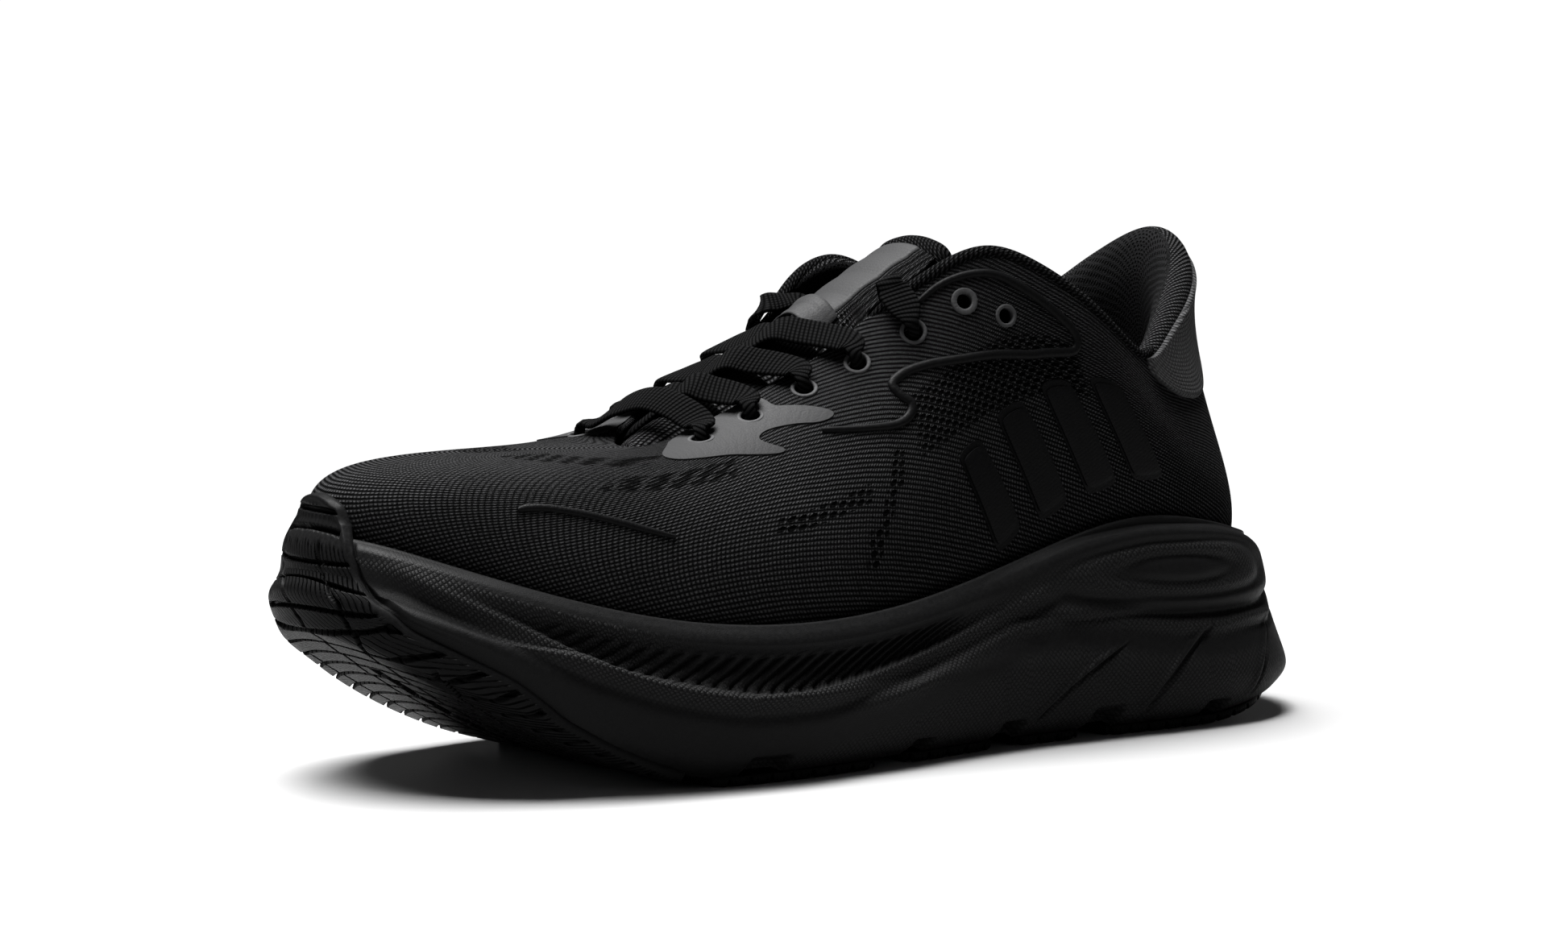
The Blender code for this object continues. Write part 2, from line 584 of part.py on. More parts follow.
film_t = [2.0, 2.2, 2.45, 2.65, 2.9, 3.1, 3.35, 3.6, 3.8, 4.05, 4.25, 4.5, 4.7, 4.95, 5.15]
film_low = [0.85, 0.79, 0.75, 0.735, 0.725, 0.72, 0.71, 0.77, 0.80, 0.81, 0.82, 0.83, 0.835, 0.83, 0.85]
film_high = [0.985] * 15
blob("eyestay_film_lateral", film_t, film_low, film_high, holes_l)
blob("eyestay_film_medial", [20 - t for t in film_t][::-1], film_low[::-1], film_high[::-1], holes_m)
hp_t = [7.95, 8.1, 8.32] + heel[1:-1] + [11.68, 11.9, 12.05]
hp_low = [0.92, 0.84, 0.76, 0.74, 0.755, 0.78, 0.8, 0.81, 0.8, 0.78, 0.755, 0.74, 0.76, 0.84, 0.92]
HP_S = [0.0, 0.35, 0.6, 0.8, 0.9, 1.0]
HT = np.repeat(np.array(hp_t)[:, None], 6, 1)
HQ = np.array([[a + (0.985 - a) * f for f in HP_S] for a in hp_low])
smooth(put("heel_patch", slab(skin(HT, HQ, np.full(HT.shape, 1.25)), skin(HT, HQ, np.full(HT.shape, 0.5))), LINING_BLACK))


def emblem(name, sign):
    """Side mark: slanted rounded bars of falling length on one thin base bar."""
    tt = np.linspace(5.75, 7.25, 16)
    k = (tt - 5.75) / 1.5
    low = 0.22 + 0.12 * k
    high = low + 0.16 + 0.14 * np.abs(np.sin(k * math.pi * 3.0))
    t = tt if sign < 0 else (20 - tt)[::-1]
    if sign > 0:
        low, high = low[::-1], high[::-1]
    return blob(name, t, low, high, None)


emblem("side_emblem_lateral", -1)
emblem("side_emblem_medial", 1)
put("toe_line", strip([(1.6, 0.42), (1.68, 0.45), (1.95, 0.465), (2.35, 0.44), (2.75, 0.41)], 1.6, 0.6, n=16), FILM_GREY, forefoot)

# ---- tongue


def edge_at(x, side):
    """Lap position of the throat edge at a given x."""
    t = np.linspace(0.3, 6.2, 300) if side < 0 else np.linspace(19.7, 13.9, 300)
    ex = TOP(t)[:, 0]
    return np.interp(x, ex, t)


CROWN = [(-70, 74.0), (-56, 81.0), (-40, 90.0), (-20, 99.5), (-1, 110.0), (8, 114.8), (14, 118.3), (22, 122.8), (30, 127.0), (36, 129.2)]


def crown(x):
    return np.interp(x, [c[0] for c in CROWN], [c[1] for c in CROWN])


def tongue_section(x, deep):
    """Cross-section of the tongue at x, from the medial wing over the crown to the lateral wing."""
    rows = []
    for side in (1, -1):
        t = edge_at(x, side)
        s = np.array([0.80, 0.88, 0.96])
        w = skin(np.full(3, t), s, np.full(3, -5.4 - deep))
        rows.append(w)
    a, b = rows[0][-1], rows[1][-1]
    mid = []
    for f in (0.2, 0.35, 0.5, 0.65, 0.8):
        p = a + (b - a) * f
        h = 0.5 - 0.5 * math.cos(2 * math.pi * f)
        p[0] = x
        p[2] = p[2] + (crown(x) - deep - p[2]) * h
        mid.append(p)
    return np.concatenate([rows[0], np.array(mid), rows[1][::-1]], 0)


def tongue_lower(name, x0, x1, d0, d1, mat, n=12):
    xs = np.linspace(x0, x1, n)
    put_ob = put(name, slab(np.array([tongue_section(x, d0) for x in xs]), np.array([tongue_section(x, d1) for x in xs])), mat)
    return smooth(put_ob)


tongue_lower("tongue_knit_lower", -49, 5.0, 0, 1.4, KNIT_BLACK)
tongue_lower("tongue_padding_lower", -34, 0.5, 2.0, 4.6, FOAM_BLACK, 9)


def tongue_top(name, x0, x1, d0, d1, w0, mat, nx=7, lift=0.0):
    """Free end of the tongue, between the two sides of the collar."""
    xs = np.linspace(x0, x1, nx)
    out, inn = [], []
    for x in xs:
        w = w0 - 2.0 * step(x, 24, 36)
        dz = (crown(x + 0.5) - crown(x - 0.5))
        nrm = np.array([-dz, 0, 1]) / math.hypot(dz, 1)
        ys = np.linspace(3.0 + w, 3.0 - w, 7)
        base = np.array([[x, y, crown(x) - 3.4 * ((y - 3.0) / w0) ** 2] for y in ys])
        out.append(base - nrm * d0 + nrm * lift)
        inn.append(base - nrm * d1 + nrm * lift)
    return smooth(put(name, slab(np.array(out), np.array(inn)), mat, tongue_pivot))


tongue_top("tongue_knit_top", 8.2, 34.0, 0, 1.4, 14.5, KNIT_BLACK)
tongue_top("tongue_padding_top", 9.5, 33.0, 1.75, 5.6, 13.5, FOAM_BLACK)
tongue_top("tongue_lining_top", 9.9, 33.0, 5.95, 6.8, 14.0, LINING_BLACK)


def film_strip(name, x0, x1, parent, n):
    xs = np.linspace(x0, x1, n)
    hi, lo = [], []
    for x in xs:
        dz = (crown(x + 0.5) - crown(x - 0.5))
        nrm = np.array([-dz, 0, 1]) / math.hypot(dz, 1)
        ys = np.linspace(12.5, -3.5, 3)
        if parent is root:
            sec = tongue_section(x, 0)
            order = np.argsort(sec[:, 1])
            base = np.array([[x, y, np.interp(y, sec[order, 1], sec[order, 2])] for y in ys])
        else:
            base = np.array([[x, y, crown(x) - 3.4 * ((y - 3.0) / 14.5) ** 2] for y in ys])
        hi.append(base + nrm * 0.95)
        lo.append(base + nrm * 0.45)
    return put(name, slab(np.array(hi), np.array(lo)), FILM_GREY, parent)


film_strip("tongue_film_top", 8.6, 31.5, tongue_pivot, 6)

# loop of film on the tongue that keeps the lace from sliding sideways
hi, lo = [], []
for y in np.linspace(13.0, -5.0, 9):
    rise = 0.45 + 1.9 * (1 - ((y - 4.0) / 9.0) ** 4)
    row_h, row_l = [], []
    for x in (-2.6, 0.4, 3.4):
        sec = tongue_section(x, 0)
        order = np.argsort(sec[:, 1])
        z = np.interp(y, sec[order, 1], sec[order, 2])
        row_h.append([x - 0.5 * rise, y, z + rise + 0.7])
        row_l.append([x - 0.5 * rise, y, z + rise])
    hi.append(row_h)
    lo.append(row_l)
put("lace_keeper", slab(np.array(hi)[:, ::-1], np.array(lo)[:, ::-1]), FILM_GREY)

# roll of binding along the tongue's top edge
xs = []
bind_o, bind_i = [], []
for y in np.linspace(15.3, -9.3, 9):
    z = crown(36.2) - 3.4 * ((y - 3.0) / 14.5) ** 2
    c = np.array([36.6, y, z - 3.4])
    sec_o = [c + np.array([2.0 * math.cos(a), 0, 4.2 * math.sin(a)]) for a in np.linspace(-math.pi / 2, math.pi / 2, 6)]
    sec_i = [c + np.array([-1.6 * math.cos(a), 0, 4.2 * math.sin(a)]) for a in np.linspace(-math.pi / 2, math.pi / 2, 6)]
    bind_o.append(sec_o)
    bind_i.append(sec_i)
smooth(put("tongue_binding", slab(np.array(bind_o), np.array(bind_i)), KNIT_BLACK, tongue_pivot))

# ---- lace


def sweep(points, across, widths, thick):
    """Flat band along a path; across is roughly the direction of its width."""
    P = np.array(points, float)
    D = np.gradient(P, axis=0)
    D /= np.linalg.norm(D, axis=-1, keepdims=True)
    R = np.array(across, float)
    R -= D * (R * D).sum(-1, keepdims=True)
    R /= np.linalg.norm(R, axis=-1, keepdims=True)
    U = np.cross(R, D)
    bm = bmesh.new()
    rings = []
    for p, r, u, w in zip(P, R, U, widths):
        line = []
        for x, y in ((1, 0), (0.72, 1), (-0.72, 1), (-1, 0), (-0.72, -1), (0.72, -1)):
            line.append(bm.verts.new(tuple(p + r * x * w / 2 + u * y * thick / 2)))
        rings.append(line)
    for a, b in zip(rings, rings[1:]):
        for k in range(6):
            bm.faces.new([a[k], a[(k + 1) % 6], b[(k + 1) % 6], b[k]])
    bm.faces.new(rings[0][::-1])
    bm.faces.new(rings[-1])
    return bm


def resample(keys, spacing):
    """Even points along a smooth curve through keys: (point, up, width)."""
    P = np.array([np.concatenate([k[0], k[1], [k[2]]]) for k in keys], float)
    n = len(P)
    dense = []
    for i in range(n - 1):
        p0, p1, p2, p3 = P[max(i - 1, 0)], P[i], P[i + 1], P[min(i + 2, n - 1)]
        for u in np.linspace(0, 1, 24, endpoint=False):
            dense.append(0.5 * (2 * p1 + (p2 - p0) * u + (2 * p0 - 5 * p1 + 4 * p2 - p3) * u**2 + (3 * p1 - p0 - 3 * p2 + p3) * u**3))
    dense.append(P[-1])
    dense = np.array(dense)
    l = np.concatenate([[0], np.cumsum(np.linalg.norm(np.diff(dense[:, :3], axis=0), axis=-1))])
    m = max(int(l[-1] / spacing), 2)
    q = np.linspace(0, l[-1], m + 1)
    return np.stack([np.interp(q, l, dense[:, j]) for j in range(dense.shape[1])], -1), l[-1]


def lace_keys():
    """Route of the lace from one tucked end over the bottom bar to the other: (point, width direction, width)."""
    W = LACE_W
    sides = {"L": EYES_L, "M": EYES_M}
    other = {"L": "M", "M": "L"}
    X = np.array([1.0, 0.0, 0.5])

    def at(side, k, d, ds=0.0):
        t, s = sides[side][k]
        p, n, a = frame_at(t, s)
        b = np.cross(n, a)
        b *= np.sign(b[0])
        return p + n * d + a * ds, b, a

    def enter(side, k):
        """From the throat edge over the knit, down through the eyelet and back underneath."""
        return [(at(side, k, 2.5, 5.6)[0], at(side, k, 0)[1], W), (at(side, k, 2.4, 1.5)[0], at(side, k, 0)[1], 3.6),
                (at(side, k, 0.3, 0.0)[0], at(side, k, 0)[1], 3.0), (at(side, k, -2.2, 0.2)[0], at(side, k, 0)[1], 3.0),
                (at(side, k, -3.3, 2.2)[0], at(side, k, 0)[1], 3.6)]

    def emerge(side, k, k2):
        """Comes out from under the throat edge between two eyelets."""
        t1, t2 = sides[side][k][0], sides[side][k2][0]
        p, n, a = frame_at(t1 + (t2 - t1) * 0.45, 0.985)
        return [(p - n * 3.4 - a * 2.0, X, W - 1.5), (p - n * 1.9 + a * 3.6, X, W - 0.6)]

    def cross(a, b, over):
        out = []
        for f, h in ((0.3, 0.75), (0.5, 1.0), (0.7, 0.8)):
            m = a + (b - a) * f
            m[2] = m[2] + (crown(m[0]) + 1.2 + over - m[2]) * h
            out.append((m, X, W))
        return out

    def strand(first):
        side = first
        keys = enter(side, 0)
        for k in range(1, 4):
            em = emerge(side, k - 1, k)
            side2 = other[side]
            en = enter(side2, k)
            over = 3.9 if (k + (first == "L")) % 2 else 1.2
            keys += em + cross(em[-1][0], en[0][0], over) + en
            side = side2
        p, b, a = at(side, 3, -3.3, 0.6)
        q, b2, a2 = at(side, 4, -3.4, 0.4)
        keys = keys[:-1] + [(p + (q - p) * 0.25, -a, 3.2), (p + (q - p) * 0.55, -a, 3.2), (p + (q - p) * 0.85, -a, 3.0)]
        r = at(side, 4, 0)[1]
        keys += [(at(side, 4, -1.4, 0.0)[0], -a2 + r, 3.0), (at(side, 4, 0.4, 0.0)[0], r, 3.0), (at(side, 4, 2.4, 1.6)[0], r, 3.8),
                 (at(side, 4, 2.3, 6.0)[0], r, W)]
        p, n, a = frame_at(sides[side][4][0], 0.995)
        keys += [(p + n * 2.2 + a * 1.2, r, W)]
        return keys

    A, B = strand("L"), strand("M")
    bar = [((A[0][0] * (1 - f) + B[0][0] * f) + np.array([0, 0, h]), X, W) for f, h in ((0.25, 4.2), (0.5, 6.0), (0.75, 4.2))]
    return A[::-1] + bar + B


keys = lace_keys()
path, lace_length = resample(keys, 4.6)
put("shoelace", sweep(path[:, :3], path[:, 3:6], path[:, 6], LACE_T), KNIT_BLACK)
print("threaded lace", round(lace_length, 1), "mm")

# free ends: tucked over the edge of the throat, down inside the quarters and along the sockliner


def rest(x, y):
    return np.array([x, y, float(footbed(x)) + 6.9 + LACE_T / 2])


def end_keys(side):
    t, s = (EYES_L if side < 0 else EYES_M)[4]
    p, n, a = frame_at(t, 0.995)
    b = np.cross(n, a)
    b *= np.sign(b[0])
    start = p + n * 2.3 + a * 1.9
    V = np.array([1.0, 0.0, 0.3])
    F = np.array([1.0, 0.0, 0.0])
    G = np.array([0.0, 1.0, 0.0])
    if side < 0:
        return [(start, b, LACE_W), (start + a * 2.4 - n * 0.3, b, LACE_W), (np.array([13.5, -15.4, 113.2]), V, 5.6),
                (np.array([15.5, -15.0, 108.0]), V, 5.6), (np.array([18, -17.0, 97.0]), F, LACE_W), (np.array([22, -22.0, 80.0]), F, LACE_W),
                (np.array([29, -25.5, 62.0]), F, LACE_W), (np.array([38, -26.0, 48.6]), F - G * 0.5, LACE_W), (rest(50, -24.0), -G, LACE_W),
                (rest(66, -22.5), -G, LACE_W), (rest(80, -20.5), -G, LACE_W), (rest(92, -16.5), -G - F * 0.5, LACE_W),
                (rest(98.5, -8.5), -F, LACE_W), (rest(97, 0), G - F * 0.4, LACE_W), (rest(88, 6.0), G, LACE_W), (rest(74, 7.5), G, LACE_W),
                (rest(58, 6.5), G, LACE_W), (rest(42, 5), G, LACE_W), (rest(30, 4), G, 4.0), (rest(24, 3.6), G, 2.6)]
    start = start + a * 1.3 + n * 0.3
    return [(start, b, LACE_W), (start + a * 2.2 + b * 0.8, b, LACE_W), (np.array([9.0, 19.4, 114.6]), V - a * 0.4, 5.6),
            (np.array([14.5, 19.6, 110.0]), V, 5.0), (np.array([17, 20.0, 101.0]), V, 5.6), (np.array([19.5, 21.5, 88.0]), F, LACE_W),
            (np.array([22, 23.4, 72.0]), F, LACE_W), (np.array([20, 24.0, 56.0]), F, LACE_W), (np.array([10, 24.0, 42.6]), F * 0.5 + G * 0.6, LACE_W),
            (rest(-4, 23.5), G, LACE_W), (rest(-18, 24.5), G, LACE_W), (rest(-31, 24), G - F * 0.3, LACE_W), (rest(-42, 20), G - F, LACE_W),
            (rest(-46.5, 11), -F, LACE_W), (rest(-42, 2), -G - F, LACE_W), (rest(-31, -3.5), -G - F * 0.2, LACE_W), (rest(-16, -6), -G, LACE_W),
            (rest(0, -8), -G, LACE_W), (rest(12, -9), -G, 4.0), (rest(18, -9.4), -G, 2.6)]


AGLET_R = 1.25
for name, side in (("lateral", -1), ("medial", 1)):
    ks = end_keys(side)
    q, l = resample(ks, 5.2)
    put(f"lace_end_{name}", sweep(q[:, :3], q[:, 3:6], q[:, 6], LACE_T), KNIT_BLACK)
    print("lace end", name, round(l, 1), "mm")
    d = q[-1, :3] - q[-2, :3]
    d[2] = 0
    d /= np.linalg.norm(d)
    c = q[-1, :3] + d * 0.35
    c[2] += 0.5
    bm = bmesh.new()
    u, v = np.cross(d, [0, 0, 1.0]), np.array([0, 0, 1.0])
    far = c + d * 20
    far[2] = float(footbed(far[0])) + 6.9 + AGLET_R
    c[2] = float(footbed(c[0])) + 6.9 + AGLET_R
    lo = [bm.verts.new(tuple(c + (u * math.cos(k * math.tau / 8) + v * math.sin(k * math.tau / 8)) * AGLET_R)) for k in range(8)]
    hi = [bm.verts.new(tuple(far + (u * math.cos(k * math.tau / 8) + v * math.sin(k * math.tau / 8)) * AGLET_R)) for k in range(8)]
    bm.faces.new(lo[::-1])
    bm.faces.new(hi)
    for k in range(8):
        bm.faces.new([lo[k], lo[(k + 1) % 8], hi[(k + 1) % 8], hi[k]])
    put(f"aglet_{name}", bm, PLASTIC_BLACK)
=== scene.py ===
"""Looks of the running shoe: fine surfaces, fabrics, rubber, laces, floor, light and camera. Lengths below are millimetres unless a name ends in _m."""

import math

import bmesh
import bpy
import numpy as np
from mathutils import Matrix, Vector


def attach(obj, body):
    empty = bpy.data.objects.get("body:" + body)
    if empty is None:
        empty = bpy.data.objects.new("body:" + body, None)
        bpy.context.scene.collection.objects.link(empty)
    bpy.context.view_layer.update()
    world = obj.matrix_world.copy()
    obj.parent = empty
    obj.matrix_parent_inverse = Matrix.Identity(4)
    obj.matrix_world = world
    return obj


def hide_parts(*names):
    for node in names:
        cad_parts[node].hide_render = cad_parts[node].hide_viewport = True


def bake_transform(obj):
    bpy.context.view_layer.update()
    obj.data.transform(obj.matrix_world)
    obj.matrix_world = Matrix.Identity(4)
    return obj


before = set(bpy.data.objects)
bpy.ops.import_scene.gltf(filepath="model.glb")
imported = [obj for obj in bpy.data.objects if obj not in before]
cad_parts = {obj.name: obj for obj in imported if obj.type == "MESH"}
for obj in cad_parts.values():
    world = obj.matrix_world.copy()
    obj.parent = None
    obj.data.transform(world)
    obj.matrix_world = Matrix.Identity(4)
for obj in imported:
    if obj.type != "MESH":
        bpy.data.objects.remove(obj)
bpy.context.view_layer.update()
KNIT = 1.5
LACE_W, LACE_T = 6.6, 1.6
MM = 0.001
FORE_START, FORE_END = (-0.054, 0.0, 0.034), (-0.090, 0.0, 0.034)


# ---- one lap round the shoe: t = 0 at the toe, 0..10 the lateral side, 10 the heel, 10..20 the medial side


def ring(knots):
    """Smooth closed curve through (t, values...) with a lap of 20."""
    k = np.array(knots, float)
    T, V = k[:, 0], k[:, 1:]
    n = len(T)
    h = np.diff(np.append(T, T[0] + 20.0))
    A = np.zeros((n, n))
    B = np.zeros_like(V)
    for i in range(n):
        a, b = h[i - 1], h[i]
        A[i, i - 1] += a / 6
        A[i, i] += (a + b) / 3
        A[i, (i + 1) % n] += b / 6
        B[i] = (V[(i + 1) % n] - V[i]) / b - (V[i] - V[i - 1]) / a
    M = np.linalg.solve(A, B)

    def f(t):
        t = (np.asarray(t, float) - T[0]) % 20.0 + T[0]
        i = np.clip(np.searchsorted(T, t, side="right") - 1, 0, n - 1)
        j = (i + 1) % n
        b = (t - T[i]) / h[i]
        a = 1 - b
        c = h[i] ** 2 / 6
        return a[..., None] * V[i] + b[..., None] * V[j] + ((a**3 - a) * c)[..., None] * M[i] + ((b**3 - b) * c)[..., None] * M[j]

    return f


def step(x, a, b):
    u = np.clip((np.asarray(x, float) - a) / (b - a), 0, 1)
    return u * u * (3 - 2 * u)


PLAN = ring([(0, -150, 8), (1, -141, -20), (2, -115, -41), (3, -80, -53), (4, -42, -57), (5, -2, -52), (6, 38, -46.5),
             (7, 78, -46.5), (8, 118, -43), (9, 142, -25), (10, 150, 0), (11, 142, 25), (12, 118, 43), (13, 78, 45),
             (14, 38, 40), (15, -2, 44), (16, -42, 55.3), (17, -80, 55.9), (18, -115, 50), (19, -141, 34)])
# rim height, rim inset, bulge height, inset and height of the shoulder under the rim
SOLE = ring([(0, 62, 3.0, 49, 3.0), (1, 59.5, 4.0, 45, 3.5), (2, 51, 4.5, 36, 3.5), (3, 42, 4.5, 27, 3.5), (4, 38.5, 4.5, 20, 3.5),
             (5, 40.5, 4.5, 20, 3.5), (6, 48.5, 5.0, 20, 3.5), (7, 56.8, 5.5, 17, 4.0), (8, 51.5, 8.5, 14.5, 6.0),
             (9, 48.5, 11.5, 13.5, 8.0), (10, 48.0, 12.5, 13.5, 8.5), (11, 49, 11.5, 13.5, 8.0), (12, 53, 8.5, 14.5, 6.0),
             (13, 57.5, 5.5, 17, 4.0), (14, 51, 5.0, 20, 3.5), (15, 43.5, 4.5, 20, 3.5), (16, 40, 4.5, 20, 3.5),
             (17, 43, 4.5, 25, 3.5), (18, 51, 4.5, 34, 3.5), (19, 59, 4.0, 43, 3.5)])
# top line and throat edge of the upper
TOP = ring([(0, -57, -2.5, 79.5), (1, -56, -6, 80), (2, -51, -9.5, 82), (3, -40, -11.5, 86.5), (4, -22, -13, 95),
            (4.6, -8, -14.5, 102), (5.2, 5, -18, 111.5), (5.8, 19, -25.5, 122.5), (6.3, 33, -31, 128), (6.7, 46, -34, 124),
            (7.1, 61, -36, 115), (7.5, 75, -35.5, 104.5), (7.8, 84, -33.5, 100), (8.2, 94, -30.5, 105.5),
            (8.7, 106, -24.5, 113), (9.3, 117.5, -15, 121), (10, 124, 0, 128.5), (10.7, 119.5, 15, 126.5),
            (11.3, 108, 25, 118.5), (11.9, 93, 31, 109.5), (12.4, 78, 34, 106), (12.9, 62, 35, 111), (13.4, 45, 34, 119),
            (13.8, 30, 31.5, 124), (14.2, 16, 27.5, 121), (14.8, 2, 22, 111), (15.4, -12, 19, 102), (16, -26, 18, 95),
            (17, -43, 15, 87), (18, -53, 11, 82), (19, -57, 5, 79.7)])
# Bezier handles of the upper: rise and lean at the rim, reach and drop at the top line
BULGE = ring([(0, 21, 5.5, 62, 0.0), (1, 21, 5.0, 56, 2.0), (2, 18, 3.0, 38, 3.0), (3, 22, 2.5, 26, 5.0), (4, 24, 2.0, 21, 8.0),
              (5, 26, 2.0, 18, 12.0), (6, 30, 2.0, 9, 22.0), (7, 18, 3.0, 5, 18.0), (8, 18, 3.0, 2, 18.0), (9, 22, 3.0, -5, 20.0),
              (10, 25, 3.0, -7, 21.0), (11, 22, 3.0, -4, 20.0), (12, 18, 3.0, 2, 18.0), (13, 20, 3.0, 5, 18.0),
              (14, 28, 2.0, 9, 22.0), (15, 25, 2.0, 18, 12.0), (16, 24, 2.0, 22, 8.0), (17, 21, 2.5, 28, 4.5),
              (18, 18, 3.0, 40, 2.5), (19, 21, 5.0, 56, 1.0)])


def ground(x):
    """Height of the tread over the floor: toe spring, flat, heel bevel."""
    x = np.asarray(x, float)
    return 42 * np.clip((-66 - x) / 84, 0, None) ** 1.45 + 9 * np.clip((x - 97) / 48, 0, None) ** 2


def footbed(x):
    """Height of the foam under the foot."""
    x = np.asarray(x, float)
    return 27 + 9 * step(x, -40, 100) + 24 * np.clip((-52 - x) / 98, 0, None) ** 1.35


def plan(t, inset):
    """Point of the outline moved inwards."""
    t = np.asarray(t, float)
    p = PLAN(t)
    d = PLAN(t + 0.01) - PLAN(t - 0.01)
    n = np.stack([d[..., 1], -d[..., 0]], -1)
    n /= np.linalg.norm(n, axis=-1, keepdims=True)
    return p + n * -np.asarray(inset, float)[..., None]


def toe(t):
    d = (np.asarray(t, float) + 10) % 20 - 10
    return np.exp(-((d / 1.7) ** 4))


GAP = 0.35
RUBBER = 2.3


def wall_rows(t):
    """Rows of the foam sidewall from the bottom edge over the rim and down to the footbed: (inset, height)."""
    rz, ri, bz, si = np.moveaxis(SOLE(t), -1, 0)
    tr = RUBBER * toe(t)
    e = plan(t, 7.0 + tr)
    z0 = ground(e[..., 0]) + RUBBER + GAP
    z0 = np.minimum(z0, bz - 3)
    fb = footbed(plan(t, ri + 5)[..., 0])
    rows = [(7.0 + tr, z0), (2.6 + tr, z0 + 0.25 * (bz - z0)), (0.0 + tr, bz), (0.55 * si + tr, bz + 0.45 * (rz - 9 - bz)),
            (si + tr, rz - 9), (ri + tr, rz - 3.2), (ri + tr + 1.3, rz), (ri + tr + 3.0, rz - 0.4), (ri + tr + 3.6, rz - 4),
            (ri + tr + 4.2, np.minimum(fb, rz - 6))]
    return rows


def upper(t, s):
    """Outer face of the knit: s = 0 at the footbed inside the rim, 0.12 at the rim, 1 at the top line."""
    t, s = np.broadcast_arrays(np.asarray(t, float), np.asarray(s, float))
    rz, ri, bz, si = np.moveaxis(SOLE(t), -1, 0)
    up, out, reach, drop = np.moveaxis(BULGE(t), -1, 0)
    i0 = ri + RUBBER * toe(t) + 4.6
    a2 = plan(t, i0)
    b2 = plan(t, i0 - 1)
    n = b2 - a2
    P0 = np.concatenate([a2, (rz - 0.5)[..., None]], -1)
    P1 = P0 + np.concatenate([n * out[..., None], up[..., None]], -1)
    P3 = TOP(t)
    # outward direction at the top: blend of the outline's normal
    P2 = P3 + np.concatenate([n * reach[..., None], -drop[..., None]], -1)
    base = np.concatenate([a2, (footbed(a2[..., 0]) + GAP)[..., None]], -1)
    v = np.clip((s - 0.12) / 0.88, 0, 1)[..., None]
    bez = (1 - v) ** 3 * P0 + 3 * (1 - v) ** 2 * v * P1 + 3 * (1 - v) * v**2 * P2 + v**3 * P3
    w = np.clip(s / 0.12, 0, 1)[..., None]
    low = base + (P0 - base) * w
    return np.where((s < 0.12)[..., None], low, bez)


def normals(f, t, s, e=0.004):
    """Outward unit normal of a surface f(t, s)."""
    dt = f(t + e, s) - f(t - e, s)
    ds = f(t, np.clip(s + e, 0, 1)) - f(t, np.clip(s - e, 0, 1))
    n = np.cross(dt, ds)
    l = np.linalg.norm(n, axis=-1, keepdims=True)
    return n / np.maximum(l, 1e-9)


def skin(t, s, d):
    """Upper's outer face moved along its normal by d."""
    t, s = np.broadcast_arrays(np.asarray(t, float), np.asarray(s, float))
    return upper(t, s) + normals(upper, t, s) * np.asarray(d, float)[..., None]

# ---- camera and room

scene = bpy.context.scene
AZ, EL, DIST, LENS = math.radians(-36), math.radians(5.1), 1119.4, 5400 / 1946 * 36
AIM = np.array([-9.141, 0.0, 70.868])
cam_data = bpy.data.cameras.new("camera")
cam_data.sensor_width = 36
cam_data.lens = LENS
cam_data.clip_end = 50
cam = bpy.data.objects.new("camera", cam_data)
scene.collection.objects.link(cam)
look = np.array([math.sin(AZ) * math.cos(EL), -math.cos(AZ) * math.cos(EL), math.sin(EL)])
cam.location = Vector((AIM + look * DIST) * MM)
cam.rotation_euler = Vector(-look).to_track_quat("-Z", "Y").to_euler()
scene.camera = cam
scene.view_settings.view_transform = "Standard"
scene.view_settings.look = "None"


def area(name, place, aim, size, watts):
    d = bpy.data.lights.new(name, "AREA")
    d.shape = "RECTANGLE"
    d.size, d.size_y = size
    d.energy = watts
    o = bpy.data.objects.new(name, d)
    scene.collection.objects.link(o)
    o.location = place
    o.rotation_euler = (Vector(aim) - Vector(place)).to_track_quat("-Z", "Y").to_euler()
    return o


area("key_top", (-0.25, 0.45, 2.3), (-0.02, 0, 0.03), (1.9, 1.5), 480)
area("side_left", (-1.5, -0.35, 0.75), (-0.08, 0, 0.06), (0.7, 0.7), 2.5)
area("side_front", (0.5, -1.8, 0.9), (0.03, 0, 0.05), (1.4, 0.5), 1.5)
world = bpy.data.worlds.new("room")
world.use_nodes = True
wt = world.node_tree
sky = wt.nodes["Background"]
sky.inputs[0].default_value = (1, 1, 1, 1)
# the backdrop is white to look at and dim as a light, as a wall far behind the table is
path = wt.nodes.new("ShaderNodeLightPath")
gain = wt.nodes.new("ShaderNodeMath")
gain.operation = "MULTIPLY_ADD"
gain.inputs[1].default_value = 0.99
gain.inputs[2].default_value = 0.05
wt.links.new(path.outputs["Is Camera Ray"], gain.inputs[0])
wt.links.new(gain.outputs[0], sky.inputs[1])
scene.world = world

# ---- material nodes


